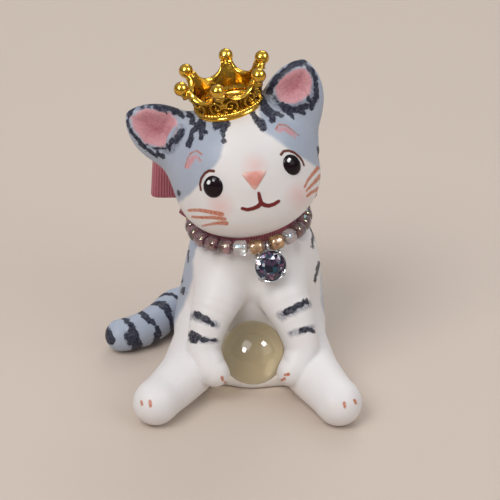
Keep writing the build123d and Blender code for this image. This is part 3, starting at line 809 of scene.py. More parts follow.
PAD_RIGHT = foot_field((-14.35, -19.35, 3.45), 3.42)
PAD_LEFT = foot_field((13.45, -19.4, 3.5), 3.5)


def arm_width(points):
    """Fillet of an arm against the body: wide at the shoulder, a crease further down."""
    return 0.35 + 1.9 * ease((points[..., 2] - 10.5) / 7)


HIP, CREASE, PAD_CREASE = 3.0, 0.35, 0.7


def leg_right(points):
    """The right leg's roll joined to its pad."""
    return smooth_join(hind_right(points), PAD_RIGHT(points), PAD_CREASE)


def leg_left(points):
    """The left leg's roll joined to its pad."""
    return smooth_join(hind_left(points), PAD_LEFT(points), PAD_CREASE)



# %% Paint on the body
BACK_STRIPES = [
    ([(-7.5, 20.4), (-3, 21.2), (2, 21.0)], 1.3, 0.5), ([(7.6, 19.6), (4.4, 18.9), (1.0, 19.4)], 1.2, 0.5),
    ([(-9.4, 16.2), (-5, 17.2), (0.6, 16.6)], 1.5, 0.6), ([(9.6, 15.0), (6, 14.6), (2.2, 15.2)], 1.4, 0.5),
    ([(-10.2, 12.0), (-6, 12.9), (-1.2, 12.4)], 1.5, 0.6), ([(10.2, 10.6), (6, 10.5), (1.6, 11.2)], 1.4, 0.6),
    ([(-10.4, 8.0), (-7, 8.6), (-3.4, 8.2)], 1.3, 0.5), ([(10.4, 6.4), (7, 6.6), (3.0, 7.0)], 1.2, 0.5),
]


def back_grey(points):
    """Distance outside the saddle of grey on the cat's back and flanks, negative inside."""
    x, y, z = points[..., 0], points[..., 1], points[..., 2]
    edge = 1.6 - 0.16 * (z - 10) + 0.9 * np.sin(z * 0.55)
    edge = np.where(x < 0, edge - 3.2 * ease((z - 6) / 8), edge)
    low = 1.8 + 0.8 * np.sin(x * 0.5) - z
    return np.maximum(edge - y, low)


def body_marks(points, normals, s, t):
    """Grey flanks and back with ink strokes; blank chest."""
    front = {
        "ink": mark_distance(s, t, INK_BODY),
        "grey": np.minimum(patch_distance(s, t, GREY_FLANK_RIGHT), patch_distance(s, t, GREY_FLANK_LEFT)),
    }
    grey = back_grey(points)
    stripes = mark_distance(points[:, 0], points[:, 2], BACK_STRIPES)
    stripes = np.where(normals[:, 1] > 0.0, np.maximum(stripes, grey), 5.0)
    return front, {"grey": grey, "ink": stripes}


def limb_marks(ink, smudge, claws):
    """Marks of one limb: ink strokes with a grey smudge round them, and claws."""
    def marks(points, normals, s, t):
        front = {
            "ink": mark_distance(s, t, ink),
            "smudge": mark_distance(s, t, smudge),
            "rust": mark_distance(s, t, claws),
        }
        return front, {"grey": np.where(normals[:, 1] > 0.1, back_grey(points), 5.0)}

    return marks


# %% Torso
TORSO_LINE = [(0.2, -0.2, 3.4, 1), (0.2, -0.2, 9, 1), (0.3, -0.5, 15, 1), (0.3, -1.0, 20.6, 1)]
coarse = 1.0


def count(number):
    """Rows or columns of a grid, fewer while trying things out."""
    return int(number * coarse)


torso_pressed = pressed(torso_field, [
    (fore_right, arm_width), (fore_left, arm_width), (leg_right, HIP), (leg_left, HIP), (tail_field, 1.0),
], cap=2.2)
torso_surface, _, _ = skin(TORSO_LINE, torso_pressed, count(120), count(190), count(34), count(46), 15.0)
clay_piece("torso_clay", torso_surface, torso_pressed, "torso", body_marks)

# %% Legs
for label, line, own, other, arm in (
    ("hind_leg_right", HIND_RIGHT, leg_right, leg_left, fore_right),
    ("hind_leg_left", HIND_LEFT, leg_left, leg_right, fore_left),
):
    field = pressed(own, [(torso_field, HIP), (arm, CREASE), (other, 0.8), (tail_field, 0.6)], cap=1.8)
    surface, _, _ = skin(line, field, count(110), count(120), count(12), count(44), 7.5)
    clay_piece(label + "_clay", surface, field, label, limb_marks([], [], RUST_CLAWS))

# %% Arms
for label, line, own, leg in (
    ("foreleg_right", FORE_RIGHT, fore_right, leg_right), ("foreleg_left", FORE_LEFT, fore_left, leg_left),
):
    field = pressed(own, [(torso_field, arm_width), (leg, CREASE)], cap=0.9)
    surface, _, _ = skin(line, field, count(130), count(120), count(16), count(36), 5.0)
    clay_piece(label + "_clay", surface, field, label, limb_marks(INK_ARMS, SMUDGE_ARMS, RUST_CLAWS))

# %% [markdown]
# ## The tail
# The tail is wholly grey-blue. Its rings are measured along the roll of clay, so they go all the
# way round and look right from behind too.

# %% Tail
tail_pressed = pressed(tail_field, [(torso_field, 1.0), (leg_right, 0.6)], cap=0.9)
tail_surface, tail_along, tail_turn = skin(
    TAIL, tail_pressed, count(170), count(84), count(10), count(34), 5.0, side=(0, 0, 1)
)
TAIL_RINGS = [(31.6, 1.5, 0.5, 0.0), (27.4, 0.72, 0.55, 0.6), (23.4, 0.66, 0.5, 1.9), (19.9, 0.55, 0.4, 3.4),
              (16.4, 0.7, 0.45, 5.0), (12.6, 0.65, 0.4, 2.2), (8.8, 0.6, 0.4, 0.9)]


def ring_marks(points, normals, s, t):
    """Rings at set lengths along the tail, each swaying a little as it goes round."""
    along = np.append(tail_along.ravel(), [0.0, tail_along.max()])
    turn = np.append(tail_turn.ravel(), [0.0, 0.0])
    rings = np.full(along.shape, 5.0)
    for at, half, sway, phase in TAIL_RINGS:
        middle = at + sway * np.sin(turn + phase) + 0.4 * sway * np.sin(3 * turn + 2 * phase)
        swell = half * (1 + 0.35 * np.sin(2 * turn + phase))
        rings = np.minimum(rings, np.abs(along - middle) - swell)
    return {}, {"grey": np.full(along.shape, -2.0), "ink": rings}


clay_piece("tail_clay", tail_surface, tail_pressed, "tail", ring_marks)
print("tail is", round(float(tail_along.max()), 1), "mm along its line")

# %% [markdown]
# ## The head
# The head is an egg of clay. Its grid has its pole at the face, so the points lie closest where
# the finest brushwork is. The mouth was drawn with thick paint, so the surface is lifted there.

# %% Ear fields
EARS = {
    "ear_right": ((-10.4, -1.4, 38.4), (-18.6, -1.0, 43.4)),
    "ear_left": ((5.7, -1.3, 42.5), (8.0, -0.6, 52.0)),
}
EAR_WIDE, EAR_THICK = 4.85, 2.4


def ear_axes(base, tip):
    """Base, length, and the directions along, across and through an ear."""
    base, tip = np.array(base), np.array(tip)
    length = np.linalg.norm(tip - base)
    along = (tip - base) / length
    across = unit(np.cross([0.0, 1.0, 0.0], along))
    return base, length, along, across, np.cross(along, across)


def ear_field(base, tip):
    """Ellipse's size to the 1.39 plus the height's share to the 2.8 is 1 at the skin."""
    base, length, along, across, through = ear_axes(base, tip)

    def field(points):
        moved = points - base
        height = moved @ along / length
        ring = np.hypot(moved @ across / EAR_WIDE, moved @ through / EAR_THICK)
        size = ring ** 1.39 + np.clip(height, 0, None) ** 2.8
        return np.maximum((size ** 0.62 - 1) * 2.3, -(height + 0.34) * length)

    return field


ear_right_field, ear_left_field = (ear_field(*EARS[label]) for label in ("ear_right", "ear_left"))

# %% Head paint
HEAD_BACK_STRIPES = [
    ([(-8, 42.5), (-6.4, 39.6), (-6.8, 36.4)], 1.2, 0.4),
    ([(-3.8, 43.0), (-3.0, 39.4), (-3.6, 35.6)], 1.4, 0.4),
    ([(0.6, 43.2), (1.0, 39.2), (0.2, 35.2)], 1.3, 0.4), ([(4.6, 42.4), (4.4, 38.8), (3.6, 35.6)], 1.1, 0.4),
    ([(-10.6, 34.6), (-8.6, 33.4), (-6.6, 33.2)], 1.1, 0.4),
    ([(8.6, 36.4), (7.2, 34.6), (5.4, 33.8)], 1.1, 0.4),
]


BLUSH_SPOTS = [([(-4.6, 6.6)], 2.2, 2.2), ([(7.6, 8.4)], 2.2, 2.2), ([(0.8, 12.9)], 2.0, 2.0)]


def head_marks(points, normals, s, t):
    """The whole face, and a grey back of the head with a few strokes."""
    ink = mark_distance(s, t, INK_HEAD)
    brows = mark_distance(s, t, PINK_BROWS)
    front = {
        "grey": np.minimum(patch_distance(s, t, GREY_HEAD_RIGHT), patch_distance(s, t, GREY_HEAD_LEFT)),
        "ink": np.minimum(ink, mark_distance(s, t, INK_EARS)),
        "smudge": mark_distance(s, t, SMUDGE_EARS),
        "wine": mark_distance(s, t, WINE_LINES),
        "brown": mark_distance(s, t, BROWN_LINES),
        "rust": mark_distance(s, t, RUST_LINES),
        "pink": brows + 0.12,
        "blush": mark_distance(s, t, BLUSH_SPOTS),
    }
    behind = 1.4 - points[:, 1] - 0.20 * np.abs(points[:, 0])
    low = 32.4 + 0.22 * points[:, 0] + 0.5 * np.sin(points[:, 0] * 0.8) - points[:, 2]
    behind = np.maximum(behind, low)
    strokes = mark_distance(points[:, 0], points[:, 2], HEAD_BACK_STRIPES)
    strokes = np.where(normals[:, 1] > 0.1, strokes, 5.0)
    return front, {"grey": behind, "ink": strokes}


# %% Head surface
FACE_DIRECTION = unit(np.array([0.06, -0.94, 0.34]))


def polar_grid(pole, rows, columns, crowding):
    """Directions all round a pole; rows are closer together near it by the given power."""
    first = unit(np.cross(pole, [0.0, 0.0, 1.0]))
    second = np.cross(pole, first)
    away = math.pi * np.linspace(0.004, 0.996, rows) ** crowding
    turn = np.linspace(0, 2 * math.pi, columns, endpoint=False)
    ring = first * np.cos(turn)[:, None] + second * np.sin(turn)[:, None]
    return pole * np.cos(away)[:, None, None] + ring[None] * np.sin(away)[:, None, None]


head_pressed = pressed(head_field, [(ear_right_field, 1.6), (ear_left_field, 1.6)], cap=1.1)
head_rays = polar_grid(FACE_DIRECTION, count(270), count(300), 1.18)
head_middle = HEAD_CENTRE + np.array([0.0, 0.0, 1.5])
head_from = np.broadcast_to(head_middle, head_rays.shape)
head_reach = first_exit(head_from.reshape(-1, 3), head_rays.reshape(-1, 3), head_pressed, 16.0, 22)
head_surface = head_from + head_rays * head_reach.reshape(head_rays.shape[:2])[..., None]
head_flat = head_surface.reshape(-1, 3)
head_normals = surface_normals(head_flat, head_pressed)
head_s, head_t = chart(head_flat)
mouth = mark_distance(head_s, head_t, WINE_LINES)
mouth_lift = 0.13 * ease(0.5 - mouth / 0.22) * (seen_from_front(head_flat, head_normals) > 0)
muzzle = 0.35 * np.exp(-((head_s - 0.7) ** 2 + (head_t - 10.6) ** 2) / 6.0)
muzzle *= seen_from_front(head_flat, head_normals) > 0
head_surface = (head_flat + head_normals * (mouth_lift + muzzle)[:, None]).reshape(head_surface.shape)
clay_piece("head_clay", head_surface, head_pressed, "head", head_marks)


# %% [markdown]
# ## The ears
# Each ear was pinched from the head's clay and hollowed with a ball tool. The hollow follows the
# pink patch, deepest in its middle, and the rim is painted with ink.

# %% Ears
def ear_marks(outline):
    """Grey all over with a pink hollow and an inked rim."""
    def marks(points, normals, s, t):
        patch = patch_distance(s, t, outline)
        rim = mark_distance(s, t, INK_EARS)
        front = {
            "pink": patch,
            "ink": np.minimum(rim, mark_distance(s, t, INK_HEAD)),
            "smudge": mark_distance(s, t, SMUDGE_EARS),
        }
        return front, {"grey": np.full(len(points), -2.0)}

    return marks


for label, outline in (("ear_right", PINK_EAR_RIGHT), ("ear_left", PINK_EAR_LEFT)):
    base, length, along, across, through = ear_axes(*EARS[label])
    own = ear_field(*EARS[label])
    field = pressed(own, [(head_field, 1.6)], cap=0.8)
    stops = [-0.12, 0.15, 0.42, 0.66]
    line = [tuple(base + along * length * stop) + (1.0,) for stop in stops]
    surface, _, _ = skin(line, field, count(90), count(150), count(14), count(60), 8.0, side=(0, 1, 0))
    flat = surface.reshape(-1, 3)
    normals = surface_normals(flat, field)
    s, t = chart(flat)
    depth = 1.15 * ease(-(patch_distance(s, t, outline) - 0.25) / 2.4)
    depth *= seen_from_front(flat, normals) > 0.05
    surface = (flat + np.array([0.0, 0.94, -0.34]) * depth[:, None]).reshape(surface.shape)
    clay_piece(label + "_clay", surface, field, label, ear_marks(outline))

# %% [markdown]
# ## Eyes and nose
# The eyes are flattened drops of glossy black enamel with a dot of white; the nose is a small pad
# pressed on and tinted. Each is planned on the painter's chart: the chart's lines of sight meet
# the plane that touches the head there, and the dome is raised from that plane.

# %% From the chart to the head
view_right = np.array([1.0, 0.0, 0.0])


def sight(s, t):
    """Direction from the painter's eye through a place on the chart."""
    forward = -view_back * VIEW_DISTANCE
    return unit(np.asarray(s)[..., None] * view_right + np.asarray(t)[..., None] * view_up + forward)


def on_head(s, t):
    """Point where a line of sight first meets the head, and the head's normal there."""
    ray = sight(s, t)[None]
    start = view_eye[None] + ray * (VIEW_DISTANCE - 30)
    reach = first_exit(start, ray, lambda p: 0.0 - head_field(p), 40.0, 160)
    point = start + ray * reach[:, None]
    return point[0], surface_normals(point, head_field)[0]


def dome(s, t, outline, height, sunk, rows=36, columns=96):
    """Pad on the head: outline gives its edge's reach on the chart for each turn; the height over
    the touching plane is a quarter of an ellipse, and the edge goes on down into the clay."""
    centre, normal = on_head(s, t)
    turn = np.linspace(0, 2 * math.pi, columns, endpoint=False)
    swing = np.concatenate([np.linspace(0.02, math.pi / 2, rows), [math.pi / 2]])
    spread, rise = np.sin(swing), height * np.cos(swing)
    rise[-1] = -sunk
    reach = outline(turn)
    chart_s = s + spread[:, None] * (reach * np.cos(turn))[None]
    chart_t = t + spread[:, None] * (reach * np.sin(turn))[None]
    ray = sight(chart_s, chart_t)
    depth = ((centre - view_eye) @ normal) / (ray @ normal)
    flat = view_eye + ray * depth[..., None]
    lower = ((flat - centre) ** 2).sum(-1) / 22.0
    return flat + normal * (rise[:, None] - lower)[..., None], normal


def leaning_ellipse(wide, tall, lean):
    """Reach of an ellipse's edge at each turn, for an ellipse leaning by an angle."""
    def reach(turn):
        away = turn - math.radians(lean)
        return 1 / np.hypot(np.cos(away) / wide, np.sin(away) / tall)

    return reach


def soft_triangle(corners, softness):
    """Reach of a triangle's edge at each turn, its corners rounded by a power mean of the sides."""
    middle = np.mean(corners, axis=0)

    def reach(turn):
        direction = np.stack([np.cos(turn), np.sin(turn)], axis=-1)
        total = np.zeros(turn.shape)
        for first, second in zip(corners, corners[1:] + corners[:1]):
            edge = np.subtract(second, first)
            normal = unit(np.array([edge[1], -edge[0]]))
            distance = (np.array(first) - middle) @ normal
            if distance < 0:
                normal, distance = -normal, -distance
            total += np.clip(direction @ normal / distance, 0, None) ** softness
        return total ** (-1 / softness)

    return middle, reach


# %% Eye and nose finishes
def make_eye_gloss():
    """Black-brown enamel under clear gloss, with a white dot where the mesh says so."""
    material, tree, shader, place = new_material(
        "eye_gloss", Roughness=0.10, Coat_Weight=0.0, Specular_IOR_Level=0.2,
    )
    slow, fine = add_mottling(tree, place, 500.0, 2500.0)
    colour = add_mix(tree, slow, srgb(10, 6, 9), srgb(34, 16, 26))
    colour = add_mix(tree, add_brush(tree, place, "glint", 0.03, 0.07), colour, srgb(250, 250, 250))
    tree.links.new(colour, shader.inputs["Base Color"])
    tree.links.new(add_bump(tree, fine, 0.05, 0.00003), shader.inputs["Normal"])
    return material


def make_nose_clay():
    """Salmon wash over clay: paler at the top edge, uneven like a dabbed brush."""
    material, tree, shader, place = new_material(
        "nose_clay", Subsurface_Weight=0.2, Subsurface_Scale=0.0008, Specular_IOR_Level=0.4,
    )
    slow, fine = add_mottling(tree, place, 700.0, 3200.0)
    colour = add_mix(tree, slow, srgb(236, 168, 152), srgb(216, 138, 128))
    colour = add_mix(tree, add_brush(tree, place, "rim", 0.5, 0.5, 1500.0), srgb(240, 206, 196), colour)
    tree.links.new(colour, shader.inputs["Base Color"])
    tree.links.new(add_math(tree, "MULTIPLY_ADD", fine, 0.2, 0.4), shader.inputs["Roughness"])
    tree.links.new(add_bump(tree, fine, 0.3, 0.00005), shader.inputs["Normal"])
    return material


EYE_GLOSS, NOSE_CLAY = make_eye_gloss(), make_nose_clay()

# %% Eyes and nose
for label, at, outline, glint in (
    ("eye_right", (-5.7, 9.7), leaning_ellipse(1.50, 1.72, 12), (-6.36, 10.42)),
    ("eye_left", (6.5, 13.1), leaning_ellipse(1.28, 1.66, 24), (6.0, 13.85)),
):
    surface, normal = dome(*at, outline, 0.62, 0.5)
    shell = grid_shell(surface)
    s, t = chart(shell[0])
    glint_line = [(glint[0] - 0.05, glint[1] - 0.08), (glint[0] + 0.05, glint[1] + 0.1)]
    glint_layer = mark_distance(s, t, [(glint_line, 0.50, 0.44)])
    piece(label + "_gloss", [shell], "figure", EYE_GLOSS, [label], {"glint": glint_layer})

nose_middle, nose_reach = soft_triangle([(-1.75, 12.0), (2.95, 12.55), (0.8, 8.55)], 3.5)
surface, normal = dome(*nose_middle, nose_reach, 0.62, 0.3, columns=120)
shell = grid_shell(surface)
from_middle = np.linalg.norm(shell[0] - shell[0][0], axis=1)
piece("nose_pad", [shell], "figure", NOSE_CLAY, ["nose"], {"rim": from_middle - 1.35})

# %% [markdown]
# ## The crown
# A cast crown: a cord-edged base ring, a flaring wall cut into six swooping scallops with a raised
# lip, scrollwork in the panels, and a ball on a collar at each tip. The wall is one closed surface:
# up the outside, over the lip and down the inside, with its top edge lifted by a formula.

# %% Crown shape
def leaning_axes(roll, pitch):
    """x, y and z directions of a frame whose z leans to the cat's right and back."""
    r, p = math.radians(roll), math.radians(pitch)
    z = np.array([-math.sin(r) * math.cos(p), math.sin(p), math.cos(r) * math.cos(p)])
    x = np.array([math.cos(r), 0, math.sin(r)])
    return x, np.cross(z, x), z


CROWN_CENTRE = np.array([-2.95, -1.0, 44.2])
CROWN_X, CROWN_Y, CROWN_Z = leaning_axes(12.5, 2.0)
CROWN_POINTS, CROWN_FIRST = 6, math.radians(-94)
CROWN_WALL = 0.55
SCALLOP_LOW, SCALLOP_TIP = 3.35, 5.2


def crown_place(radius, turn, height):
    """From crown-round coordinates to the cat's."""
    return (CROWN_CENTRE + (radius * np.cos(turn))[..., None] * CROWN_X
            + (radius * np.sin(turn))[..., None] * CROWN_Y + np.asarray(height)[..., None] * CROWN_Z)


def crown_top(turn):
    """Height of the wall's edge: quarter circles falling from each point to the low between."""
    step = 2 * math.pi / CROWN_POINTS
    off = np.abs((turn - CROWN_FIRST + step / 2) % step - step / 2) / (step / 2)
    away = np.clip((off - 0.28) / 0.72, 0, 1)
    fall = 1 - np.sqrt(1 - (1 - away) ** 2 * 0.9999)
    return SCALLOP_LOW + (SCALLOP_TIP - SCALLOP_LOW) * fall, off


def crown_radius(height):
    """Outer radius: 5.05 above the base ring, flaring as the height's share to the 1.5."""
    rise = np.clip((height - 1.2) / 4.8, 0, 1.2)
    return 5.05 + 1.6 * rise ** 1.5


def crown_wall():
    """Grid of the wall: outside up, lip, inside down; relief raises scrolls and the lip. Also gives the
    painted shade for each point.
    """
    columns = count(480)
    turn = np.linspace(0, 2 * math.pi, columns, endpoint=False)
    top, off = crown_top(turn)
    share = np.linspace(0, 1, count(60))[:, None]
    height = 1.2 + (top[None] - 1.2) * share
    below = (1 - share) * (top[None] - 1.2)
    lip = np.exp(-(below / 0.34) ** 2)
    step = 2 * math.pi / CROWN_POINTS
    local = (turn - CROWN_FIRST + step / 2) % step - step / 2
    sideways = local[None] * crown_radius(height)
    across, up = sideways, height - 2.5
    scroll = np.sin(np.hypot(np.abs(across) - 1.05, up) * 7.5 + 1.2 * np.arctan2(up, np.abs(across) - 1.05))
    leaf = np.exp(-((across / 0.42) ** 2 + ((up - 0.5) / 1.2) ** 2) * 1.4)
    panel = ease((below - 0.35) / 0.4) * ease(share / 0.12)
    relief = 0.30 * lip + 0.17 * scroll * panel + 0.40 * leaf * panel
    outside = crown_radius(height) + relief
    inner = crown_radius(height) - CROWN_WALL - 0.05 * lip
    crest = np.linspace(0, math.pi, 9)[1:-1, None]
    middle = (outside[-1] + inner[-1]) / 2
    half = (outside[-1] - inner[-1]) / 2
    crest_radius = middle + half * np.cos(crest)
    crest_height = height[-1] + 0.26 * np.sin(crest)
    radius = np.vstack([outside, crest_radius, inner[::-1]])
    heights = np.vstack([height, crest_height, height[::-1]])
    # Painted shade for the gold: stronger where the outside relief is low, 0.6 all over the inside of the
    # wall.
    hollow = np.vstack([1 - relief / 0.32, np.zeros(crest_radius.shape), np.full(inner.shape, 0.6)])
    return crown_place(radius, np.broadcast_to(turn, radius.shape), heights), hollow


def crown_ring(at_height, at_radius, thick, beads, lift):
    """Beaded ring: a round section whose thickness swells once for each bead round the ring."""
    turn = np.linspace(0, 2 * math.pi, count(480), endpoint=False)[:, None]
    around = np.linspace(0, 2 * math.pi, 16, endpoint=False)[None]
    swell = thick * (1 - lift + lift * np.abs(np.cos(turn * beads / 2 + 0.5 * np.sin(around))))
    radius = at_radius + swell * np.cos(around)
    height = at_height + swell * np.sin(around)
    grid = crown_place(radius, np.broadcast_to(turn, radius.shape), height)
    # Painted shade: darker where the section is thin, in the grooves between the beads.
    return grid, 1 - np.broadcast_to(swell / thick, radius.shape)


def turned_stem(base, top, profile, columns=40):
    """Round piece turned about the line from base to top: profile gives share along and radius."""
    axis = unit(top - base)
    first = unit(np.cross(axis, [0.3, 1.0, 0.1]))
    second = np.cross(axis, first)
    around = np.linspace(0, 2 * math.pi, columns, endpoint=False)
    ring = first * np.cos(around)[:, None] + second * np.sin(around)[:, None]
    share, radius = np.array(profile).T
    return base + (top - base) * share[:, None, None] + ring[None] * radius[:, None, None]


# %% Gold finish
def make_gold():
    """Polished cast gold with painted shade: darker and rougher down in the relief and inside the wall,
    brighter on the high places.
    """
    material, tree, shader, place = new_material("gold_metal", Metallic=1.0)
    slow, fine = add_mottling(tree, place, 420.0, 3000.0)
    hollow = add_math(tree, "MULTIPLY_ADD", fine, 0.5, add_attribute(tree, "hollow"))
    hollow = add_math(tree, "MULTIPLY_ADD", hollow, 0.9, -0.25, clamp=True)
    colour = add_mix(tree, slow, srgb(232, 190, 84), srgb(208, 158, 52))
    # Painted shade: the gold turns dark where the hollow number is high (relief, grooves, lower stems, inside
    # the wall).
    colour = add_mix(tree, hollow, colour, srgb(104, 68, 10))
    tree.links.new(colour, shader.inputs["Base Color"])
    tree.links.new(add_math(tree, "MULTIPLY_ADD", hollow, 0.14, 0.10), shader.inputs["Roughness"])
    normal = add_bump(tree, fine, 0.25, 0.00007)
    normal = add_bump(tree, slow, 0.5, 0.0003, normal)
    tree.links.new(normal, shader.inputs["Normal"])
    return material


GOLD = make_gold()

# %% Crown
wall_grid, wall_shade = crown_wall()
shells, crown_shades = [grid_shell(wall_grid, loop=True)], [wall_shade.ravel()]
CROWN_RINGS = ((-0.25, 4.70, 0.46, 44, 0.32), (1.10, 5.10, 0.34, 58, 0.28), (0.42, 4.72, 0.52, 1, 0.0))
for height, radius, thick, beads, lift in CROWN_RINGS:
    ring_grid, ring_shade = crown_ring(height, radius, thick, beads, lift)
    shells.append(grid_shell(ring_grid, loop=True))
    crown_shades.append(ring_shade.ravel())
STEM_PROFILE = [(0.0, 0.98), (0.15, 0.84), (0.26, 0.76), (0.32, 0.86), (0.40, 0.80)]
POINT_BALL = 1.1
for index in range(CROWN_POINTS):
    turn = np.array(CROWN_FIRST + 2 * math.pi * index / CROWN_POINTS)
    foot = crown_place(np.array(6.05), turn, np.array(4.5))
    ball = crown_place(np.array(6.8), turn, np.array(5.8))
    stem_length = float(np.linalg.norm(ball - foot))
    swing = np.linspace(0.62, math.pi - 0.03, 22)
    knob = [(1 - POINT_BALL * math.cos(a) / stem_length, POINT_BALL * math.sin(a)) for a in swing]
    profile = STEM_PROFILE + knob
    stem = turned_stem(foot, ball, profile)
    shells.append(grid_shell(stem))
    # Painted shade on the lower half of each stem, next to the wall.
    lower_stem_shade = (np.array(profile)[:, 0] < 0.5)[:, None] * 0.5
    crown_shades.append(np.append(np.broadcast_to(lower_stem_shade, stem.shape[:2]).ravel(), [0, 0]))
piece("crown_gold", shells, "figure", GOLD, ["crown"],
      {"hollow": np.concatenate(crown_shades)})

# %% [markdown]
# ## The glass ball
# A solid ball of clear glass. Its warm grey tint is partly a faint smoke in the glass and partly
# painted shade from the shaded hollow between the arms seen through it. It is one surface; what is
# seen in it is the scene behind, upside down, because a solid ball is a strong lens.

# %% Glass ball
def make_crystal_glass():
    """Clear glass tinted warm grey, partly faint smoke and partly painted shade, with a breath of surface
    haze.
    """
    material, tree, shader, place = new_material(
        "crystal_glass", Transmission_Weight=1.0, IOR=1.5, Metallic=0.0,
    )
    slow, fine = add_mottling(tree, place, 260.0, 1500.0)
    # Painted shade: the warm grey tint dims the ball like the shaded hollow seen through it, on top of the
    # glass's faint smoke.
    tree.links.new(add_mix(tree, slow, srgb(182, 171, 146), srgb(171, 160, 134)), shader.inputs["Base Color"])
    haze = add_math(tree, "MULTIPLY_ADD", fine, 0.012, -0.004, clamp=True)
    tree.links.new(haze, shader.inputs["Roughness"])
    return material


ball_turns = np.linspace(0, 2 * math.pi, 180, endpoint=False)
ball_rise = np.linspace(0.004, math.pi - 0.004, 120)
ball_grid = BALL_CENTRE + BALL_RADIUS * np.stack([
    np.sin(ball_rise)[:, None] * np.cos(ball_turns)[None],
    np.sin(ball_rise)[:, None] * np.sin(ball_turns)[None],
    np.broadcast_to(np.cos(ball_rise)[:, None], (120, 180)),
], axis=-1)
glass_ball = piece("glass_ball", [grid_shell(ball_grid)], "figure",
                   make_crystal_glass(), ["crystal_ball"])
# Light passes clear glass, so the ball throws no solid shadow on the clay seen through it.
glass_ball.visible_shadow = False

# %% [markdown]
# ## The necklace
# Seed beads are short glass tubes with melted edges, strung on a twisted thread. Most are plum with
# a coloured lustre; some are clear and some gold. They turn with the necklace, not with the cat.

# %% Bead finishes
def make_bead(name, low, high, clear, metal, film):
    """Lustred glass: colour that varies over the bead, coated, with a thin coloured film."""
    material, tree, shader, place = new_material(
        name, Transmission_Weight=clear, Metallic=metal, IOR=1.5, Coat_Weight=0.8, Coat_Roughness=0.04,
        Thin_Film_Thickness=film, Thin_Film_IOR=1.7,
    )
    slow, fine = add_mottling(tree, place, 900.0, 3500.0)
    spread = add_math(tree, "MULTIPLY_ADD", slow, 3.2, -1.1, clamp=True)
    facing = tree.nodes.new("ShaderNodeLayerWeight")
    facing.inputs["Blend"].default_value = 0.35
    colour = add_mix(tree, spread, srgb(*low), srgb(*high))
    rim = add_math(tree, "MULTIPLY", facing.outputs["Facing"], 0.55)
    colour = add_mix(tree, rim, colour, srgb(*low))
    tree.links.new(colour, shader.inputs["Base Color"])
    tree.links.new(add_math(tree, "MULTIPLY_ADD", fine, 0.08, 0.01), shader.inputs["Roughness"])
    tree.links.new(add_bump(tree, slow, 0.25, 0.0002), shader.inputs["Normal"])
    return material


BEAD_FINISHES = {
    "bead_plum": make_bead("bead_plum", (104, 50, 70), (206, 150, 164), 0.50, 0.0, 420.0),
    "bead_clear": make_bead("bead_clear", (222, 212, 206), (248, 244, 242), 0.72, 0.0, 360.0),
    "bead_gold": make_bead("bead_gold", (134, 96, 58), (222, 186, 132), 0.28, 0.30, 480.0),
}

# %% Beads
BEAD_COUNT, BEAD_LENGTH, BEAD_HOLE = 23, 2.1, 0.20
GOLD_BEADS, CLEAR_BEADS = {1, 23, 8, 16}, {2, 22, 9, 15}


def ring_axes(turn):
    """Point on the thread at a turn round the neck, with the radial and tangent directions."""
    radial = NECK_X * math.cos(turn) + NECK_Y * math.sin(turn)
    tangent = NECK_Y * math.cos(turn) - NECK_X * math.sin(turn)
    return NECK_ORIGIN + RING_RADIUS * radial, radial, tangent


def bead_profile(length, radius):
    """Loop of (along, out): a super-ellipse of power 3.4 outside, the hole's straight wall inside."""
    swing = np.linspace(0, math.pi, 21)
    power = 2 / 3.4
    along = -np.sign(np.cos(swing)) * np.abs(np.cos(swing)) ** power * length / 2
    out = BEAD_HOLE + 0.12 + (radius - BEAD_HOLE - 0.12) * np.sin(swing) ** power
    hole = np.array([0.9, 0.45, 0.0, -0.45, -0.9]) * length / 2
    along = np.concatenate([along, hole])
    return along, np.concatenate([out, np.full(5, BEAD_HOLE)])


for number in range(1, BEAD_COUNT + 1):
    turn = math.radians(-90 + 18 + 3 + 354 / BEAD_COUNT * (number - 0.5))
    place, radial, tangent = ring_axes(turn)
    jitter = math.sin(number * 2.4)
    length = BEAD_LENGTH * (1 + 0.025 * jitter)
    along, out = bead_profile(length, BEAD_RADIUS * (0.985 + 0.015 * jitter))
    around = np.linspace(0, 2 * math.pi, 48, endpoint=False)
    ring = radial * np.cos(around)[:, None] + NECK_Z * np.sin(around)[:, None]
    grid = place + tangent * along[:, None, None] + ring[None] * out[:, None, None]
    name = f"bead_{number:02d}"
    slot = "bead_gold" if number in GOLD_BEADS else "bead_clear" if number in CLEAR_BEADS else "bead_plum"
    piece(name + "_glass", [grid_shell(grid, loop=True)], "necklace", BEAD_FINISHES[slot], [name])


# %% Thread
def make_thread():
    """Waxed thread, its twist painted along the fibre: painted light on the crest of each ply, painted shade
    in the grooves between.
    """
    material, tree, shader, place = new_material("thread", Sheen_Weight=0.3)
    twist = add_attribute(tree, "twist")
    # Painted light and shade: each ply's crest lighter, the groove between plies darker.
    tree.links.new(add_mix(tree, twist, srgb(120, 84, 92), srgb(214, 190, 192)), shader.inputs["Base Color"])
    tree.links.new(add_math(tree, "MULTIPLY_ADD", twist, -0.2, 0.75), shader.inputs["Roughness"])
    tree.links.new(add_bump(tree, twist, 0.5, 0.00004), shader.inputs["Normal"])
    return material


thread_turn = np.linspace(0, 2 * math.pi, 720, endpoint=False)[:, None]
thread_around = np.linspace(0, 2 * math.pi, 12, endpoint=False)[None]
ply = 0.5 + 0.5 * np.cos(2 * (thread_around - thread_turn * 60))
thread_radius = 0.12 + 0.03 * ply
thread_out = RING_RADIUS + thread_radius * np.cos(thread_around)
thread_grid = (NECK_ORIGIN + (thread_out * np.cos(thread_turn))[..., None] * NECK_X
               + (thread_out * np.sin(thread_turn))[..., None] * NECK_Y
               + (thread_radius * np.sin(thread_around))[..., None] * NECK_Z)
piece("thread_twist", [grid_shell(thread_grid, loop=True)], "necklace", make_thread(),
      ["necklace_thread"], {"twist": ply})

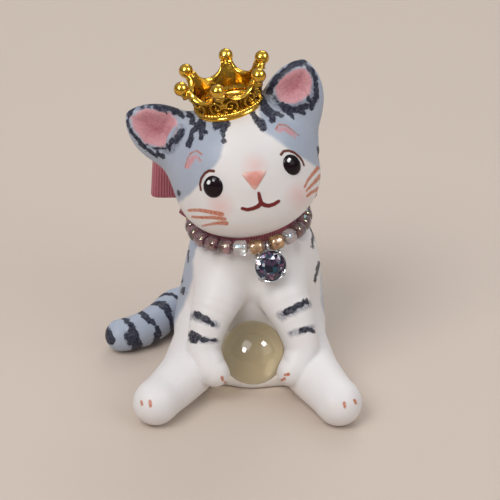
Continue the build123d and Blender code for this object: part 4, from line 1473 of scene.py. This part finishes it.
# %% [markdown]
# ## The pendant
# A bail ring, a four-prong cup and a cut stone swing together. The stone is foil-backed violet glass;
# its facets are flat faces and each carries a number for its tone: the dark violets are the stone's own
# colour, and the mauve, teal, pink and white tones are painted reflections and fire.

# %% Pendant frame
HANG = math.radians(70)
hinge, bail_radial, bail_tangent = ring_axes(BAIL_TURN)
hang_dir = bail_radial * math.cos(HANG) - NECK_Z * math.sin(HANG)
face_dir = bail_radial * math.sin(HANG) + NECK_Z * math.cos(HANG)
STONE_DROP = 3.31
stone_point = hinge + hang_dir * STONE_DROP


def pendant_place(across, down, out):
    """Point from distances across the stone, down its hang and out of its face."""
    return (stone_point + np.asarray(across)[..., None] * bail_tangent
            + np.asarray(down)[..., None] * hang_dir + np.asarray(out)[..., None] * face_dir)


# %% Silver finish
def make_silver():
    """Bright plated metal, duller where it is worn."""
    material, tree, shader, place = new_material("silver_metal", Metallic=1.0)
    slow, fine = add_mottling(tree, place, 600.0, 3200.0)
    tree.links.new(add_mix(tree, slow, srgb(214, 216, 220), srgb(176, 178, 184)), shader.inputs["Base Color"])
    tree.links.new(add_math(tree, "MULTIPLY_ADD", fine, 0.2, 0.06), shader.inputs["Roughness"])
    tree.links.new(add_bump(tree, fine, 0.2, 0.00004), shader.inputs["Normal"])
    return material


SILVER = make_silver()

# %% Setting and bail
def round_profile(profile, columns=72):
    """Grid turned about the stone's face direction from (radius, out) pairs."""
    radius, out = np.array(profile).T
    around = np.linspace(0, 2 * math.pi, columns, endpoint=False)
    return pendant_place(radius[:, None] * np.cos(around), radius[:, None] * np.sin(around),
                         np.broadcast_to(out[:, None], (len(radius), columns)))


cup = [(1.85, -1.3), (2.0, -1.34), (2.12, -1.2), (2.2, -0.8), (2.32, -0.35), (2.42, -0.02), (2.5, 0.04),
       (2.5, 0.12), (2.4, 0.14), (2.32, 0.02), (2.2, -0.3), (1.9, -0.75), (1.5, -1.0), (0.6, -1.12),
       (0.1, -1.14), (0.1, -1.24), (0.8, -1.26)]
setting_shells = [grid_shell(round_profile(cup), loop=True)]
for index in range(4):
    turn = math.radians(45 + 90 * index)
    swing = np.linspace(0, 1, 26)
    claw_radius = 2.5 - 0.42 * ease((swing - 0.45) / 0.55)
    claw_out = -0.95 + 1.50 * np.sin(swing * 1.75) / math.sin(1.75)
    claw_thick = 0.30 * np.sqrt(np.clip(1 - np.clip((swing - 0.82) / 0.185, 0, 1) ** 2, 0.02, 1))
    around = np.linspace(0, 2 * math.pi, 20, endpoint=False)
    radius = claw_radius[:, None] + claw_thick[:, None] * np.cos(around)
    sideways = claw_thick[:, None] * np.sin(around)
    across = radius * math.cos(turn) - sideways * math.sin(turn)
    down = radius * math.sin(turn) + sideways * math.cos(turn)
    claw_level = np.broadcast_to(claw_out[:, None], radius.shape)
    setting_shells.append(grid_shell(pendant_place(across, down, claw_level)))
piece("setting_cup", setting_shells, "pendant", SILVER, ["pendant_setting"])

BAIL_INNER, BAIL_WIRE, BAIL_DROP = 0.42, 0.15, 0.19
bail_turn = np.linspace(0, 2 * math.pi, 96, endpoint=False)[:, None]
bail_around = np.linspace(0, 2 * math.pi, 20, endpoint=False)[None]
bail_reach = BAIL_INNER + BAIL_WIRE + BAIL_WIRE * np.cos(bail_around)
bail_grid = (hinge + hang_dir * BAIL_DROP + (bail_reach * np.cos(bail_turn))[..., None] * hang_dir
             + (bail_reach * np.sin(bail_turn))[..., None] * face_dir
             + (BAIL_WIRE * np.sin(bail_around) + 0 * bail_turn)[..., None] * bail_tangent)
piece("bail_ring", [grid_shell(bail_grid, loop=True)], "pendant", SILVER, ["pendant_bail"])


# %% Stone
def make_stone():
    """Foil-backed violet glass: each flat facet takes its tone from the number it carries; the lighter tones
    are painted reflections and fire.
    """
    material, tree, shader, place = new_material(
        "stone_glass", Metallic=0.55, Coat_Weight=1.0, Coat_Roughness=0.02, Specular_IOR_Level=0.8,
    )
    slow, fine = add_mottling(tree, place, 500.0, 2200.0)
    ramp = tree.nodes.new("ShaderNodeValToRGB")
    ramp.color_ramp.interpolation = "CONSTANT"
    # Painted reflections: the mauve, teal, pink and white tones stand in for reflections and fire in the
    # facets; the dark violets are the stone's own colour.
    facet_reflection_tones = [(0.0, (28, 24, 52)), (0.22, (92, 66, 98)), (0.36, (40, 92, 112)), (0.48, (22, 22, 44)),
             (0.62, (150, 96, 128)), (0.72, (60, 48, 92)), (0.84, (226, 222, 236)), (0.92, (34, 30, 60))]
    elements = ramp.color_ramp.elements
    elements[0].position, elements[0].color = facet_reflection_tones[0][0], srgb(*facet_reflection_tones[0][1])
    elements[1].position, elements[1].color = facet_reflection_tones[-1][0], srgb(*facet_reflection_tones[-1][1])
    for position, tone in facet_reflection_tones[1:-1]:
        elements.new(position).color = srgb(*tone)
    cells = tree.nodes.new("ShaderNodeTexVoronoi")
    cells.inputs["Scale"].default_value = 1500.0
    tree.links.new(place, cells.inputs["Vector"])
    grey = tree.nodes.new("ShaderNodeSeparateColor")
    tree.links.new(cells.outputs["Color"], grey.inputs[0])
    fire = add_math(tree, "MULTIPLY_ADD", grey.outputs[0], 0.55, add_attribute(tree, "facet"))
    tree.links.new(add_math(tree, "FRACT", fire), ramp.inputs[0])
    tree.links.new(ramp.outputs["Color"], shader.inputs["Base Color"])
    tree.links.new(add_math(tree, "MULTIPLY_ADD", fine, 0.08, 0.02), shader.inputs["Roughness"])
    return material


# Rings of corners from table to culet: (radius, out, corners, turned by this share of a step).
STONE_RINGS = [(1.18, 0.62, 8, 0.0), (1.72, 0.42, 8, 0.5), (2.28, 0.07, 16, 0.0),
               (2.28, -0.07, 16, 0.0), (1.15, -0.62, 8, 0.5), (0.25, -1.1, 8, 0.5)]


def ring_points(radius, out, corners, half):
    """Corners at even angles round the stone's axis, at one radius and one level."""
    turn = 2 * math.pi * (np.arange(corners) + half) / corners
    return pendant_place(radius * np.cos(turn), radius * np.sin(turn), np.full(corners, out))


middles = [pendant_place(0.0, 0.0, ring[1])[None] for ring in (STONE_RINGS[0], STONE_RINGS[-1])]
stone_points = np.vstack([ring_points(*ring) for ring in STONE_RINGS] + middles)
starts = np.cumsum([0] + [ring[2] for ring in STONE_RINGS])
A, B, C, D, E, F = starts[:6]
top_middle, low_middle = starts[6], starts[6] + 1
stone_faces = []
for i in range(8):
    j = (i + 1) % 8
    c0, c1, c2 = C + 2 * i, C + 2 * i + 1, C + 2 * j
    d0, d1, d2 = D + 2 * i, D + 2 * i + 1, D + 2 * j
    stone_faces += [(top_middle, A + i, A + j), (A + i, B + i, A + j), (B + i, c0, c1), (B + i, c1, c2),
                    (A + i, c0, B + i), (A + j, B + i, c2), (c0, d0, d1, c1), (c1, d1, d2, c2),
                    (d0, E + i, d1), (d1, E + i, d2), (d2, E + i, E + j), (E + i, F + i, F + j, E + j),
                    (low_middle, F + j, F + i)]
first, second, third = stone_points[np.array([face[:3] for face in stone_faces]).T]
if np.einsum("ij,ij->i", first, np.cross(second, third)).sum() < 0:
    stone_faces = [face[::-1] for face in stone_faces]
stone = piece("stone_cut", [(stone_points, stone_faces)], "pendant", make_stone(),
              ["pendant_stone"], smooth=False)
# Each facet's number picks its tone, most of them painted reflections.
facet = stone.data.attributes.new("facet", "FLOAT", "FACE")
facet.data.foreach_set("value", (np.arange(len(stone_faces)) * 0.6180339 * 1.37 % 1).astype(np.float32))

# %% [markdown]
# ## The ribbon
# One length of 10 mm grosgrain. Its ribs run across it, so every ribbon piece carries how far each
# point lies along and across the cloth, and the weave is drawn from those, with painted light on the
# rib crests and painted shade between them. Folded edges and the pinch at the knot are in the shape itself.

# %% Ribbon finish
def make_ribbon():
    """Grosgrain: round ribs across the cloth and a fine weft over them."""
    material, tree, shader, place = new_material("ribbon", Sheen_Weight=0.35, Sheen_Roughness=0.4)
    shader.inputs["Sheen Tint"].default_value = srgb(246, 190, 196)
    along, across = add_attribute(tree, "along"), add_attribute(tree, "across")
    ribs = add_math(tree, "SINE", add_math(tree, "MULTIPLY", along, 2 * math.pi / 0.42))
    ribs = add_math(tree, "MULTIPLY_ADD", ribs, 0.5, 0.5)
    weft = add_math(tree, "SINE", add_math(tree, "MULTIPLY", across, 2 * math.pi / 0.26))
    weft = add_math(tree, "MULTIPLY_ADD", weft, 0.5, 0.5)
    height = add_math(tree, "MULTIPLY_ADD", weft, 0.3, ribs)
    slow, fine = add_mottling(tree, place, 260.0, 5200.0)
    # Painted light and shade: the rib crests lighter, the valleys between them darker.
    colour = add_mix(tree, ribs, srgb(146, 58, 76), srgb(198, 108, 122))
    shade = add_math(tree, "MULTIPLY", slow, 0.35)
    colour = add_mix(tree, shade, colour, srgb(210, 132, 142))
    lint = add_math(tree, "MULTIPLY_ADD", fine, 1.2, -0.62, clamp=True)
    colour = add_mix(tree, lint, colour, srgb(226, 160, 168))
    tree.links.new(colour, shader.inputs["Base Color"])
    tree.links.new(add_math(tree, "MULTIPLY_ADD", ribs, -0.22, 0.72), shader.inputs["Roughness"])
    tree.links.new(add_bump(tree, height, 0.8, 0.00012), shader.inputs["Normal"])
    return material


RIBBON = make_ribbon()
RIBBON_THICK, RIBBON_WIDE = 0.30, 10.0


def cloth_shell(middle, normal, along, across):
    """Closed thin shell: the middle surface moved half a thickness each way, with rounded sides."""
    rows, columns = middle.shape[:2]
    edge = np.clip(np.minimum(across - across.min(), across.max() - across) / 0.15, 0, 1)
    half = RIBBON_THICK / 2 * (0.35 + 0.65 * np.sqrt(1 - (1 - edge) ** 2))
    front = middle + normal * half[..., None]
    back = (middle - normal * half[..., None])[:, ::-1]
    grid = np.concatenate([front, back], axis=1)
    layers = {"along": np.concatenate([along, along[:, ::-1]], axis=1),
              "across": np.concatenate([across, across[:, ::-1]], axis=1)}
    return grid, layers


def ribbon_piece(name, parts, nodes):
    """Ribbon object of one or more cloth shells."""
    shells, along, across = [], [], []
    for grid, layers, loop in parts:
        shells.append(grid_shell(grid, loop=loop))
        for store, label in ((along, "along"), (across, "across")):
            values = layers[label].ravel()
            store.append(values if loop else np.append(values, [values[0], values[-1]]))
    return piece(name, shells, "figure", RIBBON, nodes,
                 {"along": np.concatenate(along), "across": np.concatenate(across)})


KNOT = np.array([-2.6, 12.0, 26.9])


def loop_cloth(side):
    """Bow loop: a teardrop path in plan, x as sine of half a turn, y as sine of a whole turn,
    carried up and down over the ribbon's width, pinched and pleated towards the knot."""
    u = np.linspace(0.035, 0.965, 220)[:, None]
    v = np.linspace(-1, 1, 46)[None]
    reach = 13.05 * np.sin(math.pi * u) ** 0.82
    slack = ease(reach / 6.5)
    swell = 1.72 * np.sin(2 * math.pi * u) + 0.25 * np.sin(6 * math.pi * u) * slack
    pleat = 0.42 * (1 - slack) * np.cos(3 * math.pi * v)
    sway = 0.22 * np.sin(2.1 * v + 1.4 * side) * slack
    half = 2.9 + 2.1 * slack
    x = KNOT[0] + side * (reach - 0.34 * v * slack * (reach / 13.05) ** 4)
    y = KNOT[1] + swell * (0.92 - 0.10 * v * side) + pleat + sway
    z = KNOT[2] + 0.6 + v * half - 0.35 * slack * (1 - v ** 2)
    middle = np.stack(np.broadcast_arrays(x, y, z), axis=-1)
    du = np.gradient(middle, axis=0)
    dv = np.gradient(middle, axis=1)
    length = np.concatenate([[0], np.cumsum(np.linalg.norm(np.diff(middle[:, 23], axis=0), axis=1))])
    along = np.broadcast_to(length[:, None], middle.shape[:2])
    across = np.broadcast_to(v * RIBBON_WIDE / 2, middle.shape[:2])
    return middle, unit(np.cross(du, dv)), along, across, length[-1]


def tail_cloth(side, depth, length):
    """Loose end: leaves the knot pinched, spreads to its width, bends out and is cut aslant."""
    v = np.linspace(-1, 1, 40)[None]
    u = np.linspace(0, 1, 90)[:, None]
    down = u * (length - 1.1 * side * v * u)
    slack = ease(u / 0.5)
    half = 2.2 + 2.5 * slack
    spread = math.radians(24) * side
    sideways = v * half
    x = KNOT[0] + down * math.sin(spread) + sideways * math.cos(spread)
    z = KNOT[2] - down * math.cos(spread) + sideways * math.sin(spread)
    gather = 0.45 * (1 - slack) * np.cos(3 * math.pi * v) * ease(u / 0.1)
    y = KNOT[1] + depth + gather + 0.5 * np.sin(3.2 * u) * u + 0.35 * v * v * slack
    middle = np.stack(np.broadcast_arrays(x, y, z), axis=-1)
    normal = unit(np.cross(np.gradient(middle, axis=0), np.gradient(middle, axis=1)))
    return middle, normal, np.broadcast_to(down, middle.shape[:2]), np.broadcast_to(v * 5.0, middle.shape[:2])


# %% Loops and tails
for label, side in (("bow_loop_right", -1), ("bow_loop_left", 1)):
    middle, normal, along, across, flat_length = loop_cloth(side)
    grid, layers = cloth_shell(middle, normal, along, across)
    loop_object = ribbon_piece(label + "_cloth", [(grid, layers, False)], [label])

RIBBON_TAILS = (("ribbon_tail_right", -1, 1.85, 13.0), ("ribbon_tail_left", 1, 2.45, 12.6))
for label, side, depth, length in RIBBON_TAILS:
    middle, normal, along, across = tail_cloth(side, depth, length)
    grid, layers = cloth_shell(middle, normal, along, across)
    tail_object = ribbon_piece(label + "_cloth", [(grid, layers, False)], [label])


# %% Knot and neck band
def knot_cloth():
    """Folded wrap round the middle of the bow: a rounded oblong path carried up and down, drawn
    in at the middle and rippled where it is tight."""
    turn = np.linspace(0, 2 * math.pi, 120, endpoint=False)[None]
    v = np.linspace(-1, 1, 54)[:, None]
    power = 2 / 3.2
    shape_x = np.sign(np.cos(turn)) * np.abs(np.cos(turn)) ** power
    shape_y = np.sign(np.sin(turn)) * np.abs(np.sin(turn)) ** power
    waist = 1 - 0.10 * (1 - v ** 2)
    folds = 1 + 0.035 * np.cos(9 * v + 1.2 * np.sin(2 * turn)) * np.abs(np.sin(turn))
    round_end = np.sqrt(np.clip(1 - np.clip((np.abs(v) - 0.8) / 0.2, 0, 1) ** 2, 0.03, 1)) * 0.25 + 0.75
    x = KNOT[0] + 2.1 * shape_x * waist * folds * round_end
    y = KNOT[1] + 2.5 * shape_y * waist * folds * round_end
    z = KNOT[2] + 2.7 * v + 0 * turn
    grid = np.stack(np.broadcast_arrays(x, y, z), axis=-1)
    along = np.broadcast_to(turn * 2.3, grid.shape[:2])
    across = np.broadcast_to(v * 2.7, grid.shape[:2])
    return grid, {"along": along, "across": across}


def bridge_cloth():
    """Flat run of ribbon from the knot to the band at the back of the neck."""
    u = np.linspace(0, 1, 40)[:, None]
    around = np.linspace(0, 2 * math.pi, 40, endpoint=False)[None]
    power = 2 / 5
    x = KNOT[0] + 0.2 * (1 - u) + 1.15 * np.sign(np.cos(around)) * np.abs(np.cos(around)) ** power + 0 * u
    z = 27.2 + 0.45 * np.sign(np.sin(around)) * np.abs(np.sin(around)) ** power + 0 * u
    y = 6.15 + (KNOT[1] - 2.1 - 6.15) * u + 0 * around
    grid = np.stack(np.broadcast_arrays(x, y, z), axis=-1)
    layers = {"along": u * 4.0, "across": x}
    return grid, {label: np.broadcast_to(value, grid.shape[:2]) for label, value in layers.items()}


def band_cloth():
    """Ribbon folded narrow round the neck: a thin oblong section with softened folds."""
    turn = np.linspace(0, 2 * math.pi, 360, endpoint=False)[:, None]
    around = np.linspace(0, 2 * math.pi, 32, endpoint=False)[None]
    power = 2 / 6
    out = 7.16 + 0.15 * np.sign(np.cos(around)) * np.abs(np.cos(around)) ** power
    up = 1.2 + 1.45 * np.sign(np.sin(around)) * np.abs(np.sin(around)) ** power
    up = up + 0.10 * np.sin(3 * turn + 0.5)
    grid = (NECK_ORIGIN + (out * np.cos(turn))[..., None] * NECK_X + (out * np.sin(turn))[..., None] * NECK_Y
            + up[..., None] * NECK_Z)
    shape = grid.shape[:2]
    return grid, {"along": np.broadcast_to(turn * 7.2, shape), "across": np.broadcast_to(up, shape)}


knot_grid, knot_layers = knot_cloth()
bridge_grid, bridge_layers = bridge_cloth()
knot_cloths = [(knot_grid, knot_layers, False), (bridge_grid, bridge_layers, False)]
ribbon_piece("ribbon_knot_cloth", knot_cloths, ["ribbon_knot"])
band_grid, band_layers = band_cloth()
ribbon_piece("ribbon_band_cloth", [(band_grid, band_layers, True)], ["ribbon_band"])


# %% [markdown]
# ## The neck pin
# A steel pin runs from the body up into the head, out of sight. It keeps its CAD shape and only
# gets a drawn-wire finish.

# %% Neck pin
def make_pin_wire():
    """Drawn steel: fine lines along the pin from noise stretched in height."""
    material, tree, shader, place = new_material("peg_wire", Metallic=1.0)
    stretch = tree.nodes.new("ShaderNodeMapping")
    stretch.inputs["Scale"].default_value = (1.0, 1.0, 0.05)
    tree.links.new(place, stretch.inputs["Vector"])
    lines = add_noise(tree, stretch.outputs["Vector"], 4000.0, 3.0)
    drawn = add_mix(tree, lines, srgb(150, 150, 154), srgb(196, 196, 200))
    tree.links.new(drawn, shader.inputs["Base Color"])
    tree.links.new(add_math(tree, "MULTIPLY_ADD", lines, 0.25, 0.25), shader.inputs["Roughness"])
    tree.links.new(add_bump(tree, lines, 0.3, 0.00005), shader.inputs["Normal"])
    return material


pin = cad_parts["neck_peg"]
pin_wire = make_pin_wire()
if pin.material_slots:
    for place in pin.material_slots:
        place.material = pin_wire
else:
    pin.data.materials.append(pin_wire)

# %% [markdown]
# ## Floor, light and air
# A warm pale floor, a large soft lamp from the upper left, a weaker one from the right to open the
# shadows, and two small square lamps that leave their square glints in the glass and the enamel.

# %% Floor
def make_floor():
    """Warm matt card with the faintest mottle."""
    material, tree, shader, place = new_material("floor_card", Roughness=0.85, Specular_IOR_Level=0.2)
    slow, fine = add_mottling(tree, place, 6.0, 60.0)
    tree.links.new(add_mix(tree, slow, srgb(214, 200, 188), srgb(208, 193, 180)), shader.inputs["Base Color"])
    tree.links.new(add_bump(tree, fine, 0.05, 0.0005), shader.inputs["Normal"])
    return material


floor_mesh = bpy.data.meshes.new("floor")
FLOOR = 1.6
floor_corners = [(x * FLOOR, y * FLOOR, 0) for x, y in ((-1, -1), (1, -1), (1, 1), (-1, 1))]
floor_mesh.from_pydata(floor_corners, [], [(0, 1, 2, 3)])
floor_mesh.materials.append(make_floor())
floor = bpy.data.objects.new("floor", floor_mesh)
bpy.context.scene.collection.objects.link(floor)


# %% Lamps
def add_lamp(name, place, aim, size, power, colour=(1, 1, 1)):
    """Square area lamp at a place in metres, pointed at another."""
    data = bpy.data.lights.new(name, "AREA")
    data.shape, data.size, data.energy, data.color = "SQUARE", size, power, colour
    lamp = bpy.data.objects.new(name, data)
    away = np.array(place) - np.array(aim)
    flat = math.hypot(away[0], away[1])
    lamp.location = place
    lamp.rotation_euler = (math.atan2(flat, away[2]), 0, math.atan2(away[0], -away[1]))
    bpy.context.scene.collection.objects.link(lamp)
    return lamp


AIM = (0.0, -0.005, 0.02)
add_lamp("key", (-0.30, -0.34, 0.62), AIM, 0.40, 2.45, (1.0, 0.99, 0.985))
add_lamp("fill", (0.48, -0.30, 0.36), AIM, 0.40, 0.66, (0.92, 0.96, 1.0))
add_lamp("back", (0.10, 0.50, 0.50), AIM, 0.35, 0.85)

# Each window lamp stands where its glint falls on the ball's wanted place: with n the ball's
# normal there and v the way to the eye, the lamp lies along 2 (n . v) n - v.
WINDOW_DISTANCE = 0.40
for label, across, up in (("window_left", -0.28, 0.11), ("window_right", 0.33, 0.295)):
    out = math.sqrt(1 - across ** 2 - up ** 2)
    toward = 2 * out * (across * view_right + up * view_up + out * view_back) - view_back
    place = tuple(BALL_CENTRE * MM + toward * WINDOW_DISTANCE)
    window = add_lamp(label, place, tuple(BALL_CENTRE * MM), 0.10, 0.9)
    window.visible_diffuse = False

# %% World and view
world = bpy.data.worlds.new("studio")
bpy.context.scene.world = world
world.use_nodes = True
air = world.node_tree
background = air.nodes["Background"]
background.inputs["Strength"].default_value = 0.56
direction = air.nodes.new("ShaderNodeTexCoord").outputs["Generated"]
split = air.nodes.new("ShaderNodeSeparateXYZ")
air.links.new(direction, split.inputs[0])
upward = add_math(air, "MULTIPLY_ADD", split.outputs["Z"], 1.1, 0.1, clamp=True)
sky = add_mix(air, upward, srgb(132, 127, 122), srgb(250, 251, 253))
air.links.new(sky, background.inputs["Color"])
view = bpy.context.scene.view_settings
view.view_transform = "Standard"
